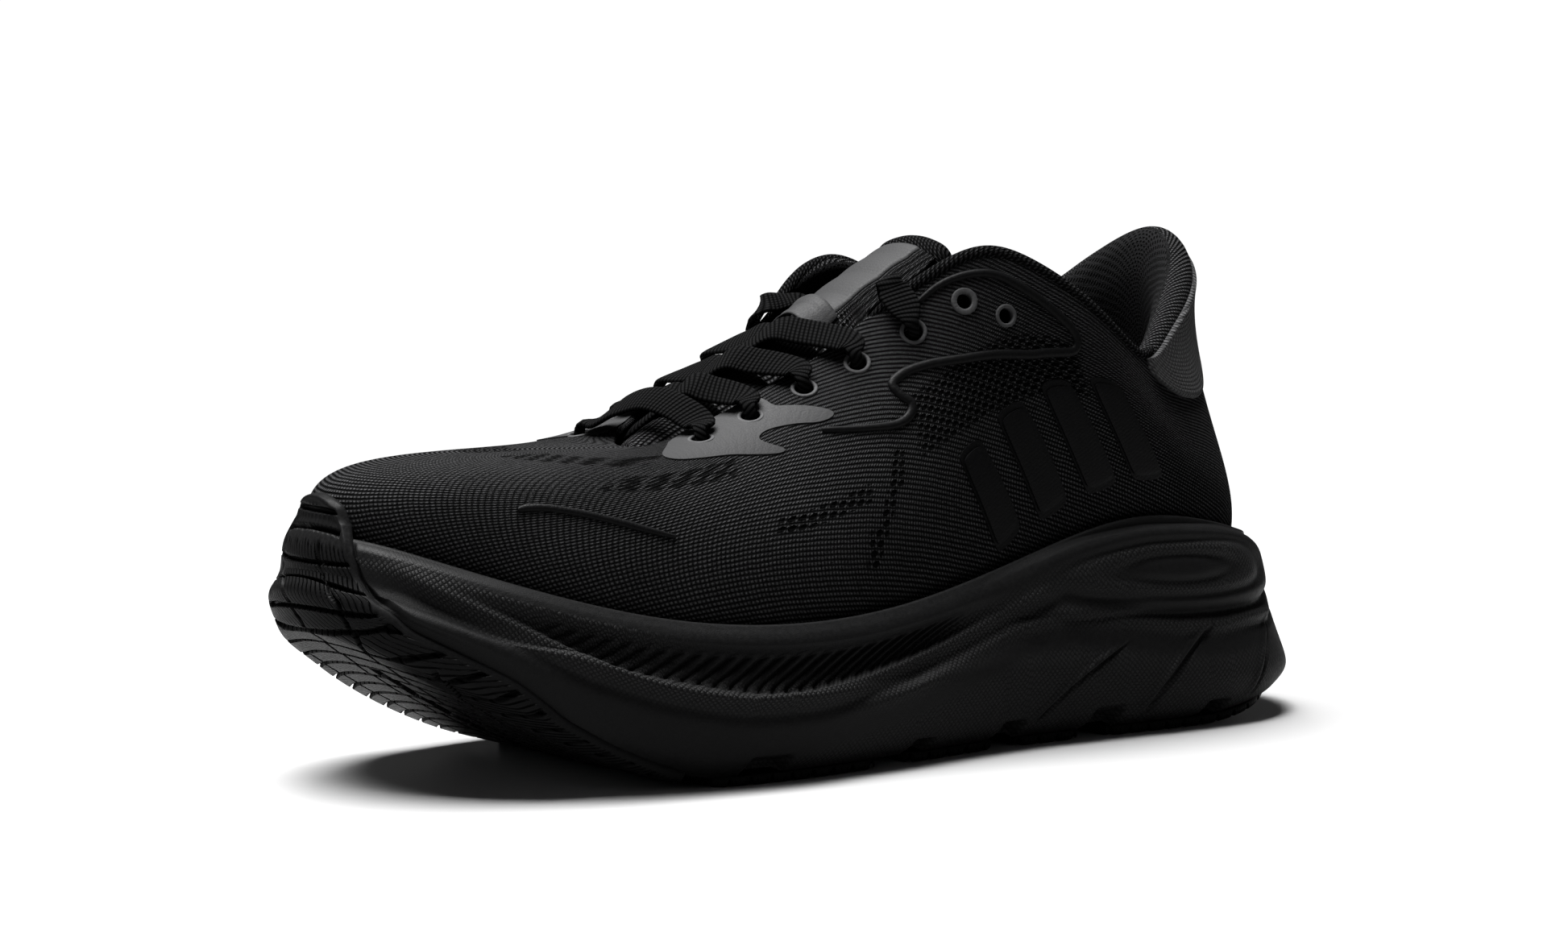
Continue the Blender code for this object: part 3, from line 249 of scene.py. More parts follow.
class Mat:
    """Small helper that writes node trees."""

    def __init__(self, name, colour, rough, spec=0.5, sheen=0.0, coat=0.0):
        self.m = bpy.data.materials.new(name)
        self.m.use_nodes = True
        self.nt = self.m.node_tree
        self.b = self.nt.nodes["Principled BSDF"]
        self.b.inputs["Base Color"].default_value = (*colour, 1)
        self.b.inputs["Roughness"].default_value = rough
        self.b.inputs["Specular IOR Level"].default_value = spec
        self.b.inputs["Sheen Weight"].default_value = sheen
        self.b.inputs["Sheen Roughness"].default_value = 0.4
        self.b.inputs["Coat Weight"].default_value = coat
        self.normal = None

    def new(self, kind, **values):
        n = self.nt.nodes.new(kind)
        for k, v in values.items():
            setattr(n, k, v)
        return n

    def plug(self, value, socket):
        if isinstance(value, (int, float)):
            socket.default_value = value
        elif isinstance(value, tuple):
            socket.default_value = value
        else:
            self.nt.links.new(value, socket)

    def math(self, op, a, b=0.0, c=0.0, clamp=False):
        n = self.new("ShaderNodeMath", operation=op, use_clamp=clamp)
        self.plug(a, n.inputs[0])
        if op not in ("SINE", "COSINE", "ABSOLUTE", "FRACT", "SQRT"):
            self.plug(b, n.inputs[1])
        if op in ("SMOOTH_MIN", "MULTIPLY_ADD", "COMPARE"):
            self.plug(c, n.inputs[2])
        return n.outputs[0]

    def uv(self, name="uv"):
        n = self.new("ShaderNodeUVMap", uv_map=name)
        s = self.new("ShaderNodeSeparateXYZ")
        self.nt.links.new(n.outputs[0], s.inputs[0])
        return s.outputs[0], s.outputs[1], n.outputs[0]

    def attr(self, name):
        return self.new("ShaderNodeAttribute", attribute_name=name).outputs["Fac"]

    def noise(self, scale, detail=3.0, vector=None, dims="3D"):
        n = self.new("ShaderNodeTexNoise", noise_dimensions=dims)
        n.inputs["Scale"].default_value = scale
        n.inputs["Detail"].default_value = detail
        if vector is None:
            vector = self.new("ShaderNodeTexCoord").outputs["Object"]
        self.nt.links.new(vector, n.inputs["Vector"])
        return n.outputs[0]

    def range(self, v, a, b, c, d):
        n = self.new("ShaderNodeMapRange")
        self.plug(v, n.inputs[0])
        for k, x in enumerate((a, b, c, d)):
            n.inputs[k + 1].default_value = x
        return n.outputs[0]

    def colour(self, factor, a, b):
        n = self.new("ShaderNodeMix", data_type="RGBA")
        self.plug(factor, n.inputs[0])
        n.inputs[6].default_value = (*a, 1)
        n.inputs[7].default_value = (*b, 1)
        self.nt.links.new(n.outputs[2], self.b.inputs["Base Color"])

    def bump(self, height, distance_m, strength=1.0):
        n = self.new("ShaderNodeBump")
        n.inputs["Distance"].default_value = distance_m
        n.inputs["Strength"].default_value = strength
        self.plug(height, n.inputs["Height"])
        if self.normal is not None:
            self.nt.links.new(self.normal, n.inputs["Normal"])
        self.normal = n.outputs[0]
        self.nt.links.new(self.normal, self.b.inputs["Normal"])


def wave(m, x, pitch, shift=0.0):
    """Rounded ridges: 0 in the furrow, 1 on the crest."""
    a = m.math("MULTIPLY_ADD", x, math.pi / pitch, shift)
    return m.math("ABSOLUTE", m.math("SINE", a))


def knit_material(name, base, light, pitch=1.3, holes=True):
    """Ribbed knit: rows along v, a pitch apart in u, with one stitch after another; eyelets of the mesh zones where
    'mesh' is 1. The colour carries painted highlight and painted shade: lighter on the stitch crests, darker in the
    furrows and near-black in the mesh holes.
    """
    m = Mat(name, base, 0.9, 0.008)
    u, v, _ = m.uv()
    wob = m.noise(170, 2)
    uu = m.math("MULTIPLY_ADD", wob, 0.5, u)
    rib = wave(m, uu, pitch)
    row = m.math("FLOOR", m.math("DIVIDE", uu, pitch))
    slant = m.math("MULTIPLY", m.math("FRACT", m.math("DIVIDE", uu, pitch)), 0.5)
    st = wave(m, m.math("ADD", m.math("ADD", v, slant), m.math("MULTIPLY", row, 0.58)), 1.15)
    height = m.math("MULTIPLY", m.math("POWER", rib, 0.8), m.math("MULTIPLY_ADD", m.math("POWER", st, 0.7), 0.6, 0.4))
    fine = m.noise(2600, 2)
    patchy = m.noise(45, 3)
    if holes:
        mesh = m.attr("mesh")
        two = m.math("FLOOR", m.math("DIVIDE", uu, 2 * pitch))
        a = wave(m, m.math("ADD", v, m.math("MULTIPLY", two, 1.7)), 3.4)
        b = wave(m, uu, 2 * pitch)
        pit = m.math("MULTIPLY", m.range(m.math("MULTIPLY", a, b), 0.42, 0.66, 0, 1), mesh)
        height = m.math("SUBTRACT", height, m.math("MULTIPLY", pit, 1.5))
        # painted highlight and shade: the stitch crests (lit) are painted lighter, the furrows darker and the mesh
        # holes near-black, where shade falls in them
        lit = m.math("POWER", m.math("MAXIMUM", height, 0.0), 3.0)
        shade = m.math("MULTIPLY", m.math("SUBTRACT", 1.0, m.math("MULTIPLY", pit, 0.95)), m.math("MULTIPLY_ADD", lit, 0.95, 0.05))
    else:
        # painted highlight and shade: the stitch crests are painted lighter and the furrows darker
        shade = m.math("MULTIPLY_ADD", m.math("POWER", height, 3.0), 0.95, 0.05)
    shade = m.math("MULTIPLY", shade, m.range(fine, 0.35, 0.65, 0.35, 1.35))
    shade = m.math("MULTIPLY", shade, m.math("MULTIPLY_ADD", patchy, 0.5, 0.75), clamp=True)
    m.colour(shade, tuple(0.08 * c for c in base), light)
    m.bump(height, 0.0008)
    m.bump(fine, 0.00012, 0.8)
    return m.m


def lining_material(name, base, light):
    m = Mat(name, base, 0.9, 0.01)
    u, v, _ = m.uv()
    row = m.math("FLOOR", m.math("DIVIDE", v, 1.15))
    a = wave(m, m.math("ADD", u, m.math("MULTIPLY", row, 0.85)), 1.7)
    b = wave(m, v, 1.15)
    pit = m.range(m.math("MULTIPLY", a, b), 0.5, 0.85, 0, 1)
    fine = m.noise(2200, 2)
    # painted shade: the mesh holes are painted dark, where shade falls in them
    shade = m.math("MULTIPLY", m.math("SUBTRACT", 1.0, pit), m.math("MULTIPLY_ADD", fine, 0.8, 0.5), clamp=True)
    m.colour(shade, tuple(0.15 * c for c in base), light)
    m.bump(m.math("SUBTRACT", fine, m.math("MULTIPLY", pit, 1.5)), 0.0003)
    return m.m


def lace_material(name, base, light):
    """Flat weave: ribs across the width; the colour is painted darker in the furrows between ribs and lighter on their
    crests, as painted shade and highlight.
    """
    m = Mat(name, base, 0.85, 0.008)
    u, v, _ = m.uv()
    rib = wave(m, m.math("MULTIPLY_ADD", v, 0.25, u), 1.2)
    cell = wave(m, v, 0.8)
    h = m.math("MULTIPLY", m.math("POWER", rib, 0.7), m.math("MULTIPLY_ADD", cell, 0.25, 0.75))
    fine = m.noise(3000, 2)
    # painted shade and highlight: colour follows the rib height, dark in the furrows and light on the crests
    m.colour(m.math("MULTIPLY", m.math("POWER", h, 2.2), m.math("MULTIPLY_ADD", fine, 0.7, 0.6), clamp=True), tuple(0.1 * c for c in base), light)
    m.bump(h, 0.00045)
    return m.m


def foam_material(name):
    """Moulded foam: satin skin, raised dots where 'dots' is 1, very fine grain elsewhere; the raised dots are also
    painted lighter, a painted highlight.
    """
    m = Mat(name, (0.012, 0.012, 0.0125), 0.5, 0.036)
    u, v, _ = m.uv()
    a = m.math("MULTIPLY", m.math("ADD", u, v), 0.7071)
    b = m.math("MULTIPLY", m.math("SUBTRACT", u, v), 0.7071)
    dot = m.range(m.math("MULTIPLY", wave(m, a, 1.12), wave(m, b, 1.12)), 0.2, 0.7, 0, 1)
    dots = m.attr("dots")
    grain = m.noise(900, 3)
    fine = m.noise(3600, 2)
    h = m.math("ADD", m.math("MULTIPLY", dot, dots), m.math("MULTIPLY", fine, 0.25))
    lightness = m.math("MULTIPLY_ADD", grain, 0.35, 0.1)
    # painted highlight: the raised dots are painted lighter than the skin around them; the grain is random tone
    m.colour(m.math("ADD", m.math("MULTIPLY", m.math("MULTIPLY", dot, dots), 1.0), lightness, clamp=True), (0.0011, 0.0011, 0.00115), (0.0118, 0.0118, 0.0120))
    m.nt.links.new(m.range(grain, 0.3, 0.7, 0.46, 0.6), m.b.inputs["Roughness"])
    m.bump(h, 0.0003)
    m.bump(grain, 0.0001, 0.5)
    return m.m


def rubber_material(name):
    """Outsole rubber: fine slanted sipes, turning a little from block row to block row, between the moulded grooves.
    The sipe furrows are painted darker and the grooves near-black, as painted shade.
    """
    m = Mat(name, (0.008, 0.008, 0.008), 0.45, 0.014)
    u, v, _ = m.uv()
    block = m.math("FLOOR", m.math("DIVIDE", m.math("SUBTRACT", u, 11.4), 5.6))
    turn = m.range(block, 0, 5, 0.46, 1.28)
    across = m.math("ADD", m.math("MULTIPLY", v, m.math("COSINE", turn)), m.math("MULTIPLY", u, m.math("SINE", turn)))
    sipe = m.range(wave(m, across, 1.12), 0.0, 0.55, 0, 1)
    grain = m.noise(1500, 3)
    where = m.attr("sipes")
    h = m.math("SUBTRACT", 1.0, m.math("MULTIPLY", m.math("SUBTRACT", 1.0, sipe), where))
    # painted shade: the colour is darker in the sipe furrows
    tone = m.math("MULTIPLY", m.math("POWER", h, 1.4), m.math("MULTIPLY_ADD", grain, 0.6, 0.5))
    # painted shade: the moulded grooves are painted near-black, where shade falls in them
    tone = m.math("MULTIPLY", tone, m.math("SUBTRACT", 1.0, m.math("MULTIPLY", m.attr("groove_shade"), 0.9)), clamp=True)
    m.colour(tone, (0.0002, 0.0002, 0.0002), (0.0050, 0.0050, 0.0051))
    m.nt.links.new(m.range(grain, 0.3, 0.7, 0.34, 0.5), m.b.inputs["Roughness"])
    m.bump(h, 0.0006)
    m.bump(grain, 0.00006, 0.5)
    return m.m


def film_material(name, base, light, rough=0.42, spec=0.5, weave=True):
    """Heat-bonded film: the knit below shows through as faint rows."""
    m = Mat(name, base, rough, spec)
    u, v, _ = m.uv()
    rib = wave(m, u, 1.0)
    grain = m.noise(1800, 3)
    m.colour(m.math("MULTIPLY_ADD", rib, 0.08 if weave else 0.05, m.math("MULTIPLY", grain, 0.6), clamp=True), base, light)
    m.nt.links.new(m.range(grain, 0.3, 0.7, rough - 0.06, rough + 0.08), m.b.inputs["Roughness"])
    m.bump(m.math("MULTIPLY_ADD", rib, 0.15 if weave else 0.1, grain), 0.00010)
    return m.m


def loop_material(name, base, light):
    """Looped pile of the heel patch, in rings round its middle."""
    m = Mat(name, base, 0.95, 0.03, sheen=0.02)
    u, v, _ = m.uv()
    row = m.math("FLOOR", m.math("DIVIDE", v, 1.2))
    a = wave(m, m.math("ADD", u, m.math("MULTIPLY", row, 0.7)), 1.4)
    b = wave(m, v, 1.2)
    h = m.math("MULTIPLY", a, b)
    fine = m.noise(2400, 2)
    # painted shade and highlight: the colour is darker between the loops and lighter on their crests
    m.colour(m.math("MULTIPLY", m.math("MULTIPLY_ADD", h, 0.7, 0.3), m.math("MULTIPLY_ADD", fine, 0.8, 0.6), clamp=True), tuple(0.25 * c for c in base), light)
    m.bump(h, 0.0005)
    return m.m


K0, K1 = (0.0030, 0.0030, 0.0032), (0.0300, 0.0300, 0.0308)
KNIT_M = knit_material("knit_black", K0, K1)
KNIT_TONGUE = knit_material("knit_tongue", K0, (0.036, 0.036, 0.037), 1.3)
BIND_M = knit_material("binding_ribbed", K0, (0.0125, 0.0125, 0.0129), 1.35, holes=False)
LINING_M = lining_material("lining_mesh", (0.003, 0.003, 0.0031), (0.0052, 0.0052, 0.0054))
LACE_M = lace_material("lace_weave", K0, (0.0042, 0.0042, 0.0043))
FOAM_M = foam_material("foam_black")
RUBBER_M = rubber_material("rubber_black")
FILM_M = film_material("film_grey", (0.0098, 0.0098, 0.0101), (0.0182, 0.0182, 0.0186), 0.6, 0.05)
RING_M = film_material("film_ring", (0.018, 0.018, 0.0185), (0.038, 0.038, 0.039), 0.6, 0.06)
FILM_DARK = film_material("film_black", (0.0014, 0.0014, 0.0015), (0.0034, 0.0034, 0.0035), 0.45, 0.03)
PATCH_M = loop_material("heel_patch_pile", (0.011, 0.011, 0.0113), (0.034, 0.034, 0.0347))
PLASTIC_M = film_material("plastic_black", (0.010, 0.010, 0.010), (0.02, 0.02, 0.02), 0.3, 0.5, weave=False)

# ---- mesh helpers


def build(name, V, F, mat, uv=None, attrs=None, index=None, weld=True, smooth=True, body=None, blend=None, stands_for=()):
    """Object from points in millimetres and quads; uv and attrs are per point."""
    V = np.asarray(V, float).reshape(-1, 3)
    F = np.asarray(F).reshape(-1, np.asarray(F).shape[-1])
    me = bpy.data.meshes.new(name)
    k = F.shape[1]
    me.vertices.add(len(V))
    me.vertices.foreach_set("co", (V * MM).astype(np.float32).ravel())
    me.loops.add(F.size)
    me.loops.foreach_set("vertex_index", F.astype(np.int32).ravel())
    me.polygons.add(len(F))
    me.polygons.foreach_set("loop_start", np.arange(0, F.size, k, dtype=np.int32))
    me.polygons.foreach_set("loop_total", np.full(len(F), k, np.int32))
    for mt in mat if isinstance(mat, (list, tuple)) else [mat]:
        me.materials.append(mt)
    if index is not None:
        me.polygons.foreach_set("material_index", np.asarray(index, np.int32).ravel())
    me.update(calc_edges=True)
    layer = me.uv_layers.new(name="uv")
    if uv is not None:
        layer.data.foreach_set("uv", np.asarray(uv, np.float32).reshape(-1, 2)[F.ravel()].ravel())
    for key, values in (attrs or {}).items():
        a = me.attributes.new(key, "FLOAT", "POINT")
        a.data.foreach_set("value", np.asarray(values, np.float32).ravel())
    bm = bmesh.new()
    bm.from_mesh(me)
    if weld:
        bmesh.ops.remove_doubles(bm, verts=bm.verts, dist=2e-6)
        bmesh.ops.dissolve_degenerate(bm, edges=bm.edges, dist=1e-6)
    bmesh.ops.recalc_face_normals(bm, faces=bm.faces)
    if bm.calc_volume(signed=True) < 0:
        bmesh.ops.reverse_faces(bm, faces=bm.faces)
    bm.to_mesh(me)
    bm.free()
    if smooth:
        me.shade_smooth()
    ob = bpy.data.objects.new(name, me)
    scene.collection.objects.link(ob)
    if blend:
        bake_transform(ob)
    elif body:
        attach(ob, body)
    if stands_for:
        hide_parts(*stands_for)
    return ob


def quads(n, m, start=0):
    I, J = np.meshgrid(np.arange(n - 1), np.arange(m - 1), indexing="ij")
    a = I * m + J + start
    return np.stack([a, a + m, a + m + 1, a + 1], -1).reshape(-1, 4)


def shell(outer, inner):
    """Points and quads of a closed slab between two grids."""
    n, m = outer.shape[:2]
    V = np.concatenate([outer.reshape(-1, 3), inner.reshape(-1, 3)])
    k = n * m
    F = [quads(n, m), quads(n, m, k)[:, ::-1]]
    i = np.arange(n - 1)
    j = np.arange(m - 1)
    for a, b in ((i * m, (i + 1) * m), (i * m + m - 1, (i + 1) * m + m - 1)):
        F.append(np.stack([a, b, b + k, a + k], -1))
    for a, b in ((j, j + 1), ((n - 1) * m + j, (n - 1) * m + j + 1)):
        F.append(np.stack([a, b, b + k, a + k], -1))
    return V, np.concatenate(F)


def lengths(P, axis):
    d = np.linalg.norm(np.diff(P, axis=axis), axis=-1)
    pad = np.zeros_like(np.take(d, [0], axis=axis))
    return np.concatenate([pad, np.cumsum(d, axis=axis)], axis=axis)


def bell(x, w):
    return np.exp(-((x / w) ** 2))


def catmull(K, v):
    """Rows K (n, ...) at fractional row v."""
    n = len(K)
    i = np.clip(np.floor(v).astype(int), 0, n - 2)
    u = (v - i)[(...,) + (None,) * (K.ndim - 1)]
    p0, p1, p2, p3 = K[np.maximum(i - 1, 0)], K[i], K[i + 1], K[np.minimum(i + 2, n - 1)]
    return 0.5 * (2 * p1 + (p2 - p0) * u + (2 * p0 - 5 * p1 + 4 * p2 - p3) * u**2 + (3 * p1 - p0 - 3 * p2 + p3) * u**3)


# ---- foam midsole, one moulding

TOE_EDGE = [(-3.3, 0.02), (-2.7, 0.15), (-2.2, 0.33), (-1.8, 0.40), (-1.4, 0.45), (-1.1, 0.59), (-0.85, 0.84), (-0.72, 1.0), (-0.62, 1.07), (-0.54, 1.13),
            (-0.47, 1.25), (-0.38, 1.33), (-0.2, 1.39), (0, 1.39), (0.21, 1.33), (0.37, 1.25), (0.45, 1.13), (0.54, 1.07), (0.64, 1.0), (0.73, 0.84),
            (0.91, 0.59), (1.2, 0.45), (1.6, 0.40), (1.96, 0.35), (2.6, 0.15), (3.3, 0.02)]


def toe_top(t):
    """How far up the rubber reaches round the toe."""
    x, y = np.array(TOE_EDGE).T
    return sum(np.interp(t + e, x, y) for e in (-0.06, -0.03, 0.0, 0.03, 0.06)) / 5


LAT_RIM = lambda q: SOLE(q)[..., 0]


def relief(t, P):
    """Height of the moulded relief over the plain sidewall, and how dotted the skin is there."""
    q = np.where(t > 10, 20 - t, t)
    z, x = P[..., 2], P[..., 0]
    rz = SOLE(t)[..., 0]
    h = rz - z
    at = lambda xs, ys: np.interp(q, xs, ys)
    ridge = at([0.6, 1.09, 1.5, 2, 2.44, 2.91, 3.52, 4.05, 4.69, 5.34, 5.87, 6.4], [3.5, 4.5, 6.7, 9.8, 13.2, 15.4, 17.2, 16.6, 14.2, 12.2, 10.6, 8.0])
    top = at([2, 3.2, 4.4, 5.4], [6.6, 7.2, 7.4, 7.0])
    on = step(q, 0.6, 1.6) * (1 - step(q, 5.6, 6.6))
    d = np.zeros_like(z)
    d += 0.9 * bell(h - 4.2, 3.2)                                              # smooth roll under the rim
    lens = step(q, 1.4, 2.4) * (1 - step(q, 5.0, 6.0))
    inside = step(h, top - 3.0, top + 0.5) * (1 - step(h, ridge - 2.4, ridge - 0.4))
    d -= 1.9 * lens * inside
    d += 1.0 * on * bell(h - ridge, 1.7)
    d -= 1.0 * on * bell(h - ridge - 4.2, 1.9)
    # comb of long shallow slits: each starts on the ridge and rises towards the heel
    tall = np.maximum(ridge - top, 2.0)
    lean = np.interp(q, [1.9, 2.3, 2.8, 3.4, 4.2, 5.6], [4.0, 8.0, 12.0, 16.0, 20.0, 26.0])
    f = np.clip((ridge - 1.4 - h) / tall, -0.3, 1.3)
    pitch = 4.0 + 0.47 * (q - 2)
    phase = 41 / 0.47 * np.log(np.maximum(pitch, 1.0) / 4.0) - lean * f / pitch
    off = (phase - np.round(phase)) * pitch * tall / np.sqrt(tall**2 + lean**2)
    slit = bell(off, 0.42)
    d -= 1.25 * slit * lens * step(f, -0.12, 0.06) * (1 - step(f, 0.8, 0.98)) * step(q, 1.95, 2.3) * (1 - step(q, 5.2, 5.6))
    # second ridge rising towards the heel lobe
    z2 = at([3.6, 3.96, 4.9, 5.39, 5.86, 6.3, 6.8, 7.2, 7.6, 8.0], [11, 14.4, 20.9, 26.0, 31.5, 33.5, 31.0, 28.2, 27.4, 28.5])
    on2 = step(q, 4.1, 5.0) * (1 - step(q, 8.2, 8.8))
    d += 1.0 * on2 * bell(z - z2, 1.6)
    d -= 1.0 * on2 * bell(z - z2 - 4.0, 2.2)
    # lobe under the heel rim: rings round a long oval
    zc = at([5.4, 6.2, 7.0, 7.8, 8.6], [40, 42.5, 43.5, 42.0, 39.5])
    f2 = np.sqrt(((q - 7.25) / 1.65) ** 2 + ((z - zc) / 11.5) ** 2)
    d += 1.9 * np.sqrt(np.clip(1 - f2**2, 0, 1)) * step(q, 5.2, 6.4)
    d -= 1.1 * bell(f2 - 1.04, 0.09) * step(q, 5.8, 6.6)
    d -= 1.0 * bell(f2 - 0.62, 0.09)
    d -= 0.8 * bell(f2 - 0.30, 0.09)
    # outer lobe behind it
    f3 = np.sqrt(((q - 7.3) / 2.25) ** 2 + ((z - zc) / 16.5) ** 2)
    d -= 0.8 * bell(f3 - 1.0, 0.06) * step(q, 7.6, 8.6)
    # slanted cuts over the heel's lower band
    for q0, za, q1, zb, w in ((6.75, 24.5, 6.08, 8.0, 0.8), (7.48, 27.0, 6.96, 6.0, 1.0), (8.35, 27.0, 7.95, 9.0, 0.8)):
        g = (za - z) / (za - zb)
        line = (q - (q0 + (q1 - q0) * g - 0.06 * np.sin(math.pi * np.clip(g, 0, 1)))) * 40
        d -= 1.15 * bell(line, w) * step(g, -0.12, 0.1) * (1 - step(g, 0.95, 1.15))
        d += 0.5 * bell(line + 2.2, 1.6) * step(g, -0.12, 0.1) * (1 - step(g, 0.95, 1.15))
    # arched cut-outs along the bottom edge
    for q0, w, high in ((3.72, 0.16, 5.0), (5.02, 0.09, 4.2), (5.82, 0.1, 5.5), (6.62, 0.12, 6.5), (7.55, 0.1, 5.0)):
        e = np.abs(q - q0 - (z - 3) * 0.008) / w
        arch = step(1.15 - e, 0, 0.5) * (1 - step(z - 2.6, high * 0.55, high))
        d -= 3.4 * arch
    # round back of the heel: fuller at half height, drawn in at the ground
    back = step(q, 8.5, 9.5)
    d += 1.8 * back * bell(z - 25, 9.0)
    d -= 4.0 * back * (1 - step(z, 0, 13))
    dots = on * bell(h - ridge, 3.4) + 0.9 * step(h, 3.0, 4.5) * (1 - step(h, ridge, ridge + 2)) * (1 - step(q, 2.4, 3.4))
    dots += 0.5 * on2 * bell(z - z2, 3.0) + 0.45 * (1 - step(z, z2 - 10, z2 - 6)) * step(q, 3.0, 4.4) * (1 - step(q, 7.6, 8.6))
    dots += 0.5 * bell(f2 - 0.45, 0.14) * step(q, 5.6, 6.4)
    return d, np.clip(dots, 0, 1)


def outward(P):
    """Unit normals of a grid (around, up)."""
    du = np.gradient(P, axis=0)
    dv = np.gradient(P, axis=1)
    n = np.cross(du, dv)
    return n / np.maximum(np.linalg.norm(n, axis=-1, keepdims=True), 1e-9)


def midsole():
    nt, nv = 1600, 150
    t = np.linspace(0, 20, nt)
    rows = wall_rows(t)
    K = np.stack([np.concatenate([plan(t, i), np.broadcast_to(z, t.shape)[:, None]], -1) for i, z in rows])
    v = np.concatenate([np.linspace(0, 6, nv), np.linspace(6, 9, 14)[1:]])
    P = np.moveaxis(catmull(K, v), 0, 1)
    N = outward(P)
    T = np.repeat(t[:, None], len(v), 1)
    d, dots = relief(T, P)
    fade = step(v, 0.0, 0.15) * (1 - step(v, 5.2, 6.0))
    tl = np.minimum(T, 20 - T)
    fade = fade[None] * step(tl, 0.7, 1.4)
    low = 1 - step(P[..., 2], 6, 9)
    d = d * np.maximum(fade, low * step(v, -0.1, 0.1)[None] * (v < 3)[None])
    wv = np.interp(v, [0, 1, 2, 3, 4, 5, 6], [0, 0.25, 0.5, 0.68, 0.85, 1.0, 1.1])[None]
    d = d + 1.9 * toe(T) * step(wv - toe_top((T + 10) % 20 - 10), 0.03, 0.10) * (1 - step(v, 5.2, 6.0))[None]
    P = P + N * d[..., None]
    U = lengths(K[2], 0)
    UV = np.stack([np.repeat(U[:, None], len(v), 1), lengths(P, 1)], -1)
    # underside and footbed: straight rows from the lateral to the medial edge
    half = nt // 2
    parts_V, parts_F, parts_uv, parts_d = [P.reshape(-1, 3)], [quads(nt, len(v))], [UV.reshape(-1, 2)], [dots.ravel()]
    off = P.shape[0] * P.shape[1]
    m = 48
    tb = t[::2]
    for k, top in ((0, False), (-1, True)):
        A = P[: half + 1, k][::2]
        B = P[::-1][: half + 1, k][::2]
        f = np.linspace(0, 1, m)[None, :, None]
        G = A[:, None] * (1 - f) + B[:, None] * f
        base = A[:, None, 2] * (1 - f[..., 0]) + B[:, None, 2] * f[..., 0]
        z = footbed(G[..., 0]) if top else ground(G[..., 0]) + RUBBER + GAP
        w = np.minimum(1, np.minimum(f[..., 0], 1 - f[..., 0]) * 10)
        G[..., 2] = base + (z - base) * w
        if not top:
            y = G[..., 1]
            chan = bell(y - 1.5 - 3 * np.sin(G[..., 0] / 45.0), 4.5) * 3.2 * step(G[..., 0], -125, -100) * (1 - step(G[..., 0], 120, 138))
            cut = 0
            for xc in (-9.0, 32.0, 62.0):
                cut = cut + bell(G[..., 0] - xc - 0.12 * np.abs(y), 3.4) * 2.4
            G[..., 2] += np.maximum(chan, cut) * w
        parts_V.append(G.reshape(-1, 3))
        parts_F.append(quads(G.shape[0], m, off))
        parts_uv.append(G[..., :2].reshape(-1, 2))
        parts_d.append(np.full(G.shape[0] * m, 0.35 if not top else 0.0))
        off += G.shape[0] * m
    return build("midsole_foam", np.concatenate(parts_V), np.concatenate(parts_F), FOAM_M, np.concatenate(parts_uv), {"dots": np.concatenate(parts_d)},
                 blend=("rearfoot", "forefoot", FORE_START, FORE_END), stands_for=("midsole_front", "midsole_rear"))


midsole()

# ---- knit upper: outside, rolled edge and inside, one sock-like piece

EYES_L = [(2.62, 0.888), (3.49, 0.894), (4.20, 0.899), (4.81, 0.878), (5.46, 0.858), (5.98, 0.861), (6.30, 0.783)]
EYES_M = [(17.9, 0.9), (17.0, 0.893), (16.2, 0.895), (15.55, 0.885), (14.9, 0.885), (14.26, 0.885), (13.94, 0.817)]


def lining_depth(t, s):
    heel = step(t, 7.9, 8.9) * (1 - step(t, 11.1, 12.1))
    low = step(s, 0.3, 0.62)
    return 3.6 + (2.6 + 3.4 * heel) * low * (1 - 0.25 * step(s, 0.85, 1.0))


def depth(t, s):
    """Thickness from the knit's face to the lining: thin at the toe and throat, padded round the collar."""
    back = step(t, 5.0, 6.6) * (1 - step(t, 13.4, 15.0))
    return KNIT + (lining_depth(t, s) + 0.9 - KNIT) * back


def rows_uv(P):
    """Knit coordinates: across the rows and along them."""
    x, y, z = P[..., 0], P[..., 1], P[..., 2]
    a = math.radians(32)
    return np.stack([z * math.cos(a) - x * math.sin(a) * 1.0 + 0.25 * np.abs(y), x * math.cos(a) + z * math.sin(a) + 0.6 * np.abs(y)], -1)


MESH_ZONES = [((5.3, 0.59), (6.75, 0.65), 0.10), ((4.75, 0.30), (4.95, 0.50), 0.06), ((3.9, 0.42), (4.6, 0.46), 0.03), ((2.0, 0.62), (3.2, 0.66), 0.05),
              ((0.3, 0.80), (1.9, 0.78), 0.05)]


def mesh_zone(t, s):
    """1 where the knit is opened into rows of small holes."""
    q = np.minimum(t, 20 - t)
    out = np.zeros_like(s)
    for (ta, sa), (tb, sb), w in MESH_ZONES:
        k = np.clip((q - ta) / (tb - ta), 0, 1)
        line = sa + (sb - sa) * k
        out = np.maximum(out, (1 - step(np.abs(s - line), w * 0.7, w)) * step(q, ta - 0.12, ta) * (1 - step(q, tb, tb + 0.12)))
    return out


